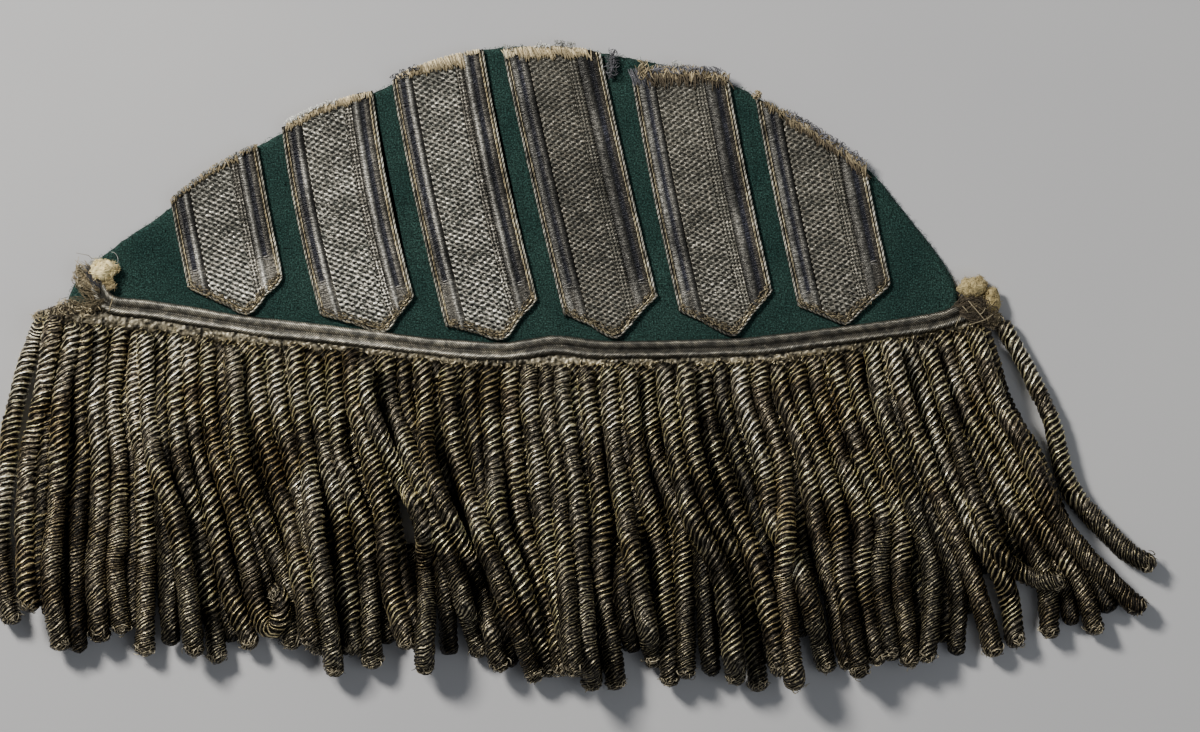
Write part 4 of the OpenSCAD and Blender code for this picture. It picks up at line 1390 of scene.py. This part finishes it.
def build_strands():
    """All strands of the fringe, from the lowest layer to the highest. Returns for each upper
    strand its tip, the way it points there, its radius and its tone."""
    rng = np.random.default_rng(29)
    skirt = "bullion_fringe"
    jobs = []
    for number, line in enumerate(under_strands(), 1):
        jobs.append((UNDER, f"under_strand_{number:02d}", skirt, line, 1.0, LOWER_LAYER_SHADE))
    for number, row in enumerate(STRANDS, 1):
        line = charted_line(row)
        line[0, 1] += rng.uniform(-3, 5)
        # Strands of the low layer are painted darker, as shade under the upper ones
        light = LOWER_LAYER_SHADE if row[7] == LOW else 1.0
        jobs.append((row[7], f"strand_{number:02d}", skirt, line, 1.0, light))
    for name, layer, node, share, light, line in ODD_STRANDS:
        jobs.append((layer, name, node, line, share, light))
    jobs.sort(key=lambda job: job[0])
    lines, radii, tips = [], [], []
    for layer, name, node, pixels, share, light in jobs:
        path = smooth_line(place(pixels), 0.7)
        s = travelled(path)
        free = np.clip(s / 20, 0, 1) * (layer <= TOP)
        path[:, 0] += 0.16 * free * drift_line(s, 5.0, 300 + len(lines))
        lines.append(path)
        share = share * (UNDER_SIZE if layer <= LOW else 1.0)
        radii.append(STRAND_RADIUS * rng.uniform(0.97, 1.05) * share)
    for number, (job, path, radius) in enumerate(zip(jobs, settle(lines, radii), radii)):
        layer, name, node, _, _, light = job
        pitch = rng.uniform(1.20, 1.52)
        droop = rng.uniform(0.4, 0.85)
        starts = int(rng.choice([4, 5, 6], p=[0.3, 0.45, 0.25]))
        fine = layer > LOW
        if not fine:
            pitch = 1.6
        far_right = np.interp(path[0, 0], [88, 98], [0, 1]) * (node == skirt)
        wear_from = travelled(path)[-1] * rng.uniform(0.4, 1.0)
        rows, columns = (4, 14) if fine else (3, 7)
        points, faces, twist, s = twisted_strand(
            path, radius, pitch, starts, droop, rows, columns, number, 0.27, wear_from
        )
        wear = np.clip((s - wear_from) / 14, 0, 0.8) + 0.15 * drift_line(s + 5 * number, 7.0, 410)
        tone = rng.uniform(0.75, 1.28) * light
        lit = tone * (1 + 0.34 * drift_line(s + 11 * number, 8.0, 400))
        lit = lit * np.interp(s[-1] - s, [0, 14], [0.62, 1.0]) * np.interp(s, *LENGTH_LIGHT)
        lit = lit * np.interp(path[0, 0], *STRAND_LIGHT)
        warm = rng.uniform(-0.03, 0.03) + 0.02 * far_right
        rgb = lit[:, None] * np.array([1.0 + warm, 1.0, 1.0 - warm])
        make_piece(name, points, faces, BULLION, maps={"twist": twist},
                   colours={"tone": rgb, "wear": np.repeat(wear[:, None], 3, axis=1)},
                   nodes=[node])
        if fine:
            tips.append((path[-1], path[-1] - path[-4], radius * (1 + STRAND_SWELL), tone))
    return tips


def build_tip_loops(tips):
    """Fine wire that curls loose at the tip of each strand: short bent threads set about the
    half-round end at random."""
    rng = np.random.default_rng(37)
    count = 14
    parts = []
    for tip, ahead, radius, tone in tips:
        turn = np.arctan2(ahead[1], ahead[0]) + rng.uniform(-1.7, 1.7, count)
        out = radius * rng.uniform(0.35, 1.04, count)
        lift = np.sqrt(np.clip(radius ** 2 - out ** 2, 0, None))
        middles = np.column_stack([out * np.cos(turn), out * np.sin(turn), lift])
        middles = tip - ahead / np.linalg.norm(ahead) * radius + middles
        headings = turn + np.pi / 2 + rng.normal(0, 0.6, count)
        path = strewn(rng, middles, headings, (0.7, 2.0), (-0.6, 0.6), (0, 0.35))
        rgb = np.array([0.36, 0.315, 0.22]) * tone * rng.uniform(0.3, 1.8, (count, 1))
        parts.append(threads(path, rng.uniform(0.09, 0.15, count), rgb, 3))
    points, faces, rgb = gather(parts)
    make_piece("strand_tip_loops", points, faces, METAL_THREAD, colours={"thread": rgb})


# Wadding and loose threads

def lump(centre, radii, rough, seed, colour):
    """Closed lump: at each direction the way out from the centre is the radius there, times one
    plus soft random folds. Returns points, triangles and colours."""
    rings, sides = 24, 34
    tilt = np.linspace(0, np.pi, rings + 2)[1:-1, None]
    turn = (np.arange(sides) * FULL_TURN / sides)[None]
    ways = np.stack(np.broadcast_arrays(
        np.sin(tilt) * np.cos(turn), np.sin(tilt) * np.sin(turn), np.cos(tilt) + 0 * turn
    ), -1).reshape(-1, 3)
    ways = np.vstack([ways, [0, 0, 1], [0, 0, -1]])
    x, y, z = ways.T
    fold = drift(x * 2 + z, y * 2 - z, 0.55, seed)
    fine = drift(x * 3 - z, y * 3 + z, 0.22, seed + 1)
    out = 1 + rough * fold + 0.45 * rough * fine
    points = np.array(centre) + ways * np.array(radii) * out[:, None]
    points[:, 2] = np.maximum(points[:, 2], centre[2] - radii[2])
    # Painted light and shade: lighter on the outward folds and towards the top, darker in creases
    shade = np.clip(0.95 + 1.1 * rough * fold + 0.6 * rough * fine + 0.15 * z, 0.2, 1.4)
    return points, tube_triangles(rings, sides)[:, ::-1], np.asarray(colour) * shade[:, None]


def fibres_over(centre, radii, count, seed, colour):
    """Fine fibres that lie over a lump: each is a short arc along its surface."""
    rng = np.random.default_rng(seed)
    turn, lift = rng.uniform(0, FULL_TURN, count), rng.uniform(0.15, 1.0, count)
    flat = np.sqrt(1 - lift ** 2)
    ways = np.column_stack([flat * np.cos(turn), flat * np.sin(turn), lift])
    middles = np.array(centre) + ways * np.array(radii) * 1.04
    path = strewn(rng, middles, rng.uniform(0, np.pi, count), (0.6, 1.9), (-0.5, 0.5), (0, 0.3))
    return threads(path, 0.07, np.asarray(colour) * rng.uniform(0.6, 1.25, (count, 1)), 3)


# Wadding lumps: CAD node, centre and radii in millimetres, roughness, colour
LUMPS = [
    ("wadding_left", (-100.2, -9.2, 3.7), (2.8, 2.4, 1.9), 0.17, np.array([1.12, 0.94, 0.50])),
    ("wadding_left", (-101.9, -7.4, 3.0), (1.0, 0.9, 0.8), 0.26, WHITE * 1.1),
    ("wadding_left", (-97.9, -8.9, 3.2), (1.2, 1.2, 1.0), 0.2, np.array([0.92, 0.74, 0.38])),
    ("wadding_left", (-99.3, -11.7, 3.3), (1.3, 0.9, 0.9), 0.16, np.array([0.62, 0.50, 0.26])),
    ("wadding_left", (-98.5, -13.0, 3.1), (1.0, 0.6, 0.7), 0.16, np.array([0.60, 0.48, 0.26])),
    ("wadding_right", (101.3, -13.4, 2.4), (3.1, 2.4, 2.3), 0.15, np.array([0.56, 0.45, 0.22])),
    ("wadding_right", (103.0, -12.9, 2.0), (1.9, 2.0, 1.8), 0.18, np.array([0.50, 0.40, 0.20])),
    ("wadding_right", (105.9, -16.6, 2.0), (2.0, 3.2, 1.9), 0.18, np.array([0.48, 0.38, 0.18])),
    ("wadding_right", (101.6, -18.2, 2.0), (4.2, 3.0, 1.9), 0.3, BROWN * 0.7),
    ("wadding_right", (106.8, -20.8, 1.7), (1.4, 1.5, 1.6), 0.24, np.array([0.30, 0.25, 0.15])),
]
# Wisps of matted threads: middle and half sizes in pixels, height over the table, how many
# threads, their length and radius, and colour
WISPS = [
    # x    y    w   h   z    count length radius colour
    (80, 276, 6, 8, 3.3, 45, 1.8, 0.075, TAN),
    (80, 271, 4, 5, 3.4, 50, 1.3, 0.11, CREAM * 0.5),
    (82, 284, 5, 3, 3.4, 45, 1.3, 0.11, CREAM * 0.7),
    (68, 308, 13, 8, 3.1, 60, 1.5, 0.10, CREAM),
    (86, 310, 9, 7, 3.3, 50, 1.5, 0.10, CREAM * 0.95),
    (45, 317, 14, 6, 3.0, 50, 1.5, 0.10, CREAM * 0.9),
    (66, 310, 16, 9, 3.1, 50, 1.6, 0.10, BROWN * 1.2),
    (982, 312, 14, 12, 3.9, 110, 2.4, 0.085, BROWN * 1.1),
    (990, 322, 8, 6, 3.6, 40, 2.0, 0.085, TAN * 0.45),
    (612, 62, 4, 14, 3.0, 50, 2.4, 0.09, SMOKE * 1.2),
    (757, 95, 4, 3.5, 3.4, 40, 1.0, 0.12, TAN * 1.1),
    (643, 70, 6, 8, 3.6, 30, 2.0, 0.12, TAN),
]
# Frayed locks: pixels where they start, how wide they are there, pixels where they end, how
# wide they are there, heights over the table at both, how many threads, radius, and colour
LOCKS = [
    # from      wide to       wide z    z    count radius colour
    (99, 290, 3, 80, 264, 6, 3.4, 3.2, 26, 0.085, TAN * 0.75),
    (98, 292, 4, 76, 277, 6, 3.4, 3.1, 26, 0.085, TAN * 0.55),
    (99, 296, 4, 82, 290, 6, 3.5, 3.0, 22, 0.085, TAN * 0.35),
    (100, 288, 3, 88, 268, 5, 3.6, 3.5, 24, 0.075, SMOKE * 0.8),
    (104, 300, 3, 84, 312, 7, 4.0, 3.0, 30, 0.08, TAN * 0.4),
    (96, 303, 4, 66, 302, 6, 3.6, 2.7, 14, 0.08, TAN * 0.45),
    (92, 306, 4, 62, 312, 6, 3.4, 2.7, 12, 0.08, TAN * 0.3),
    (956, 306, 5, 978, 301, 7, 3.9, 3.9, 30, 0.085, BROWN * 1.3),
    (962, 314, 6, 987, 318, 8, 3.9, 3.6, 36, 0.085, BROWN * 1.2),
    (962, 300, 4, 984, 310, 7, 3.6, 4.2, 22, 0.075, TAN * 0.45),
    (975, 322, 7, 1000, 326, 5, 3.6, 2.8, 24, 0.085, BROWN * 1.4),
]
# Loose fibres and threads: radius, colour, and the points that each runs through, x and y in
# pixels and height in millimetres
LOOSE_THREADS = [
    (0.06, WHITE * 0.7, [(117, 268, 3.3), (118, 259, 3.0), (115, 253, 2.6), (111, 252, 2.4)]),
    (0.09, TAN * 1.1, [(113, 296, 3.6), (112, 302, 4.3), (110, 308, 4.4), (109, 312, 3.9)]),
    (0.08, TAN, [(95, 270, 3.2), (86, 265, 3.3), (78, 273, 3.2), (77, 283, 3.1), (84, 285, 3.0)]),
    (0.12, TAN * 1.2, [(92, 272, 3.4), (87, 280, 3.4), (88, 292, 3.3), (93, 303, 3.6)]),
    (0.12, TAN * 0.9, [(96, 276, 3.2), (91, 288, 3.2), (94, 300, 3.4), (101, 310, 4.2)]),
    (0.09, CREAM * 0.75, [(968, 301, 4.8), (974, 308, 5.0), (980, 315, 4.9), (985, 321, 4.6)]),
    (0.08, CREAM * 0.6, [(993, 314, 4.6), (986, 319, 4.9), (978, 322, 4.8), (968, 325, 4.4)]),
    (0.11, CREAM * 0.55, [(957, 303, 3.8), (963, 307, 4.4), (968, 313, 4.6)]),
    (0.11, CREAM * 0.55, [(985, 308, 4.6), (982, 313, 4.7), (979, 314, 4.7)]),
    (0.12, CREAM * 0.6, [(960, 316, 4.3), (957, 322, 4.4), (955, 327, 4.2)]),
    (0.30, SMOKE * 0.8, [(609, 79, 2.8), (612, 70, 3.2), (611, 60, 3.2), (615, 50, 2.6)]),
    (0.26, SMOKE, [(612, 78, 2.7), (610, 70, 3.0), (614, 62, 3.3), (613, 53, 2.9)]),
]


def build_wadding():
    """Lumps of wadding at both ends of the seam, with fibres over them."""
    for node in ("wadding_left", "wadding_right"):
        parts = []
        for number, (owner, centre, radii, rough, colour) in enumerate(LUMPS):
            if owner == node:
                parts.append(lump(centre, radii, rough, 800 + 2 * number, colour))
                parts.append(fibres_over(centre, radii, 60, 820 + number, colour * 1.1))
        points, faces, rgb = gather(parts)
        make_piece(f"{node}_cotton", points, faces, WADDING, colours={"thread": rgb},
                   nodes=[node])


def build_loose_threads():
    """Frayed threads that are charted one by one, wisps of finer ones, each bent at random, and
    locks whose threads fan out from where they start, bowed as a half wave and a whole one."""
    rng = np.random.default_rng(31)
    parts = []
    for radius, colour, points in LOOSE_THREADS:
        points = np.array(points, float)
        points[:, :2] = place(points[:, :2])
        parts.append(threads(smooth_line(points, 0.6)[None], radius, colour, 5))
    for x, y, half_w, half_h, height, count, length, radius, colour in WISPS:
        turn, out = rng.uniform(0, FULL_TURN, count), np.sqrt(rng.uniform(0, 1, count))
        x, y = x + half_w * out * np.cos(turn), y + half_h * out * np.sin(turn)
        lift = height + rng.uniform(-0.5, 0.5, count) * (1.2 - out)
        middles = np.column_stack([place(np.column_stack([x, y])), lift])
        path = strewn(rng, middles, rng.uniform(0, np.pi, count), (0.5 * length, 1.2 * length),
                      (-0.45 * length, 0.45 * length), (0, 0.5), 6)
        parts.append(threads(path, radius, colour * rng.uniform(0.4, 1.5, (count, 1)), 3))
    for x0, y0, wide_0, x1, y1, wide_1, z0, z1, count, radius, colour in LOCKS:
        t = np.linspace(0, 1, 6)[None, :, None]
        start = np.array([x0, y0]) + rng.uniform(-wide_0, wide_0, (count, 2)) / 2
        end = np.array([x1, y1]) + rng.normal(0, wide_1 / 2, (count, 2))
        path = place(start)[:, None] * (1 - t) + place(end)[:, None] * t
        aside = np.stack([start[:, 1] - end[:, 1], start[:, 0] - end[:, 0]], 1)[:, None] * PIXEL
        path = path + aside * np.sin(np.pi * t) * rng.normal(0, 0.12, (count, 1, 1))
        path = path + aside * np.sin(FULL_TURN * t) * rng.normal(0, 0.06, (count, 1, 1))
        height = z0 + (z1 - z0) * t[..., 0] + rng.uniform(-0.3, 0.3, (count, 1))
        path = np.dstack([path, height + 0.4 * np.sin(np.pi * t[..., 0])])
        parts.append(threads(path, radius, colour * rng.uniform(0.4, 1.6, (count, 1)), 3))
    points, faces, rgb = gather(parts)
    make_piece("loose_threads", points, faces, FIBRE, colours={"thread": rgb})


# Camera, light and table

# Width of the camera's sensor in millimetres, and in metres its distance from the nest and
# half the height of the nest over the table
SENSOR = 36
CAMERA_DISTANCE = 1.5
NEST_MIDDLE = 0.003


def build_stage():
    """Pale table under the nest."""
    size = 1.6
    corners = [(-size, -size, 0), (size, -size, 0), (size, size, 0), (-size, size, 0)]
    mesh = bpy.data.meshes.new("table")
    mesh.from_pydata(corners, [], [(0, 1, 2, 3)])
    table = bpy.data.objects.new("table", mesh)
    bpy.context.scene.collection.objects.link(table)
    f = Finish("pale table", roughness=0.75, specular=0.3)
    cloudy = f.noise(f.place(), 9.0, 3.0, 0.5)
    grey = f.ramp(cloudy, [(0.3, (0.56, 0.56, 0.58)), (0.7, (0.6, 0.6, 0.61))])
    mesh.materials.append(f.finish(grey))


def soft_light(name, at, towards, size, power, colour=(1, 1, 1)):
    """Square soft box that faces a point. Places are in metres."""
    lamp = bpy.data.lights.new(name, "AREA")
    lamp.shape = "SQUARE"
    lamp.size = size
    lamp.energy = power
    lamp.color = colour
    box = bpy.data.objects.new(name, lamp)
    box.location = at
    box.rotation_euler = (Vector(towards) - Vector(at)).to_track_quat("-Z", "Y").to_euler()
    bpy.context.scene.collection.objects.link(box)


def build_view():
    """Camera straight over the middle of the photo, high enough that it hardly widens with
    height, and lights that come from the upper left."""
    x, y = place(PHOTO_CENTRE) * MM
    camera = bpy.data.cameras.new("camera")
    camera.sensor_width = SENSOR
    camera.lens = SENSOR * CAMERA_DISTANCE / (PHOTO_WIDTH * PIXEL * MM)
    eye = bpy.data.objects.new("camera", camera)
    eye.location = (x, y, CAMERA_DISTANCE + NEST_MIDDLE)
    bpy.context.scene.collection.objects.link(eye)
    bpy.context.scene.camera = eye
    soft_light("key", (-0.62, 0.58, 0.72), (x, y, 0), 0.22, 16.6, (1, 0.97, 0.91))
    soft_light("fill", (0.7, -0.3, 0.9), (x, y, 0), 0.8, 2.2, (0.92, 0.96, 1))
    world = bpy.data.worlds.new("studio")
    world.use_nodes = True
    back = world.node_tree.nodes["Background"]
    back.inputs["Color"].default_value = (0.8, 0.84, 0.9, 1)
    back.inputs["Strength"].default_value = 0.13
    bpy.context.scene.world = world


build_view()
build_stage()
build_cloth()
build_felt_fuzz()
for stripe in map(Stripe, range(1, len(STRIPES) + 1)):
    weave = build_stripe(stripe)
    trimmings = [build_edge_cords(stripe), build_point_edging(stripe), build_raw_top(stripe)]
build_braid()
build_heading()
build_heading_loops()
build_tip_loops(build_strands())
build_wadding()
build_loose_threads()
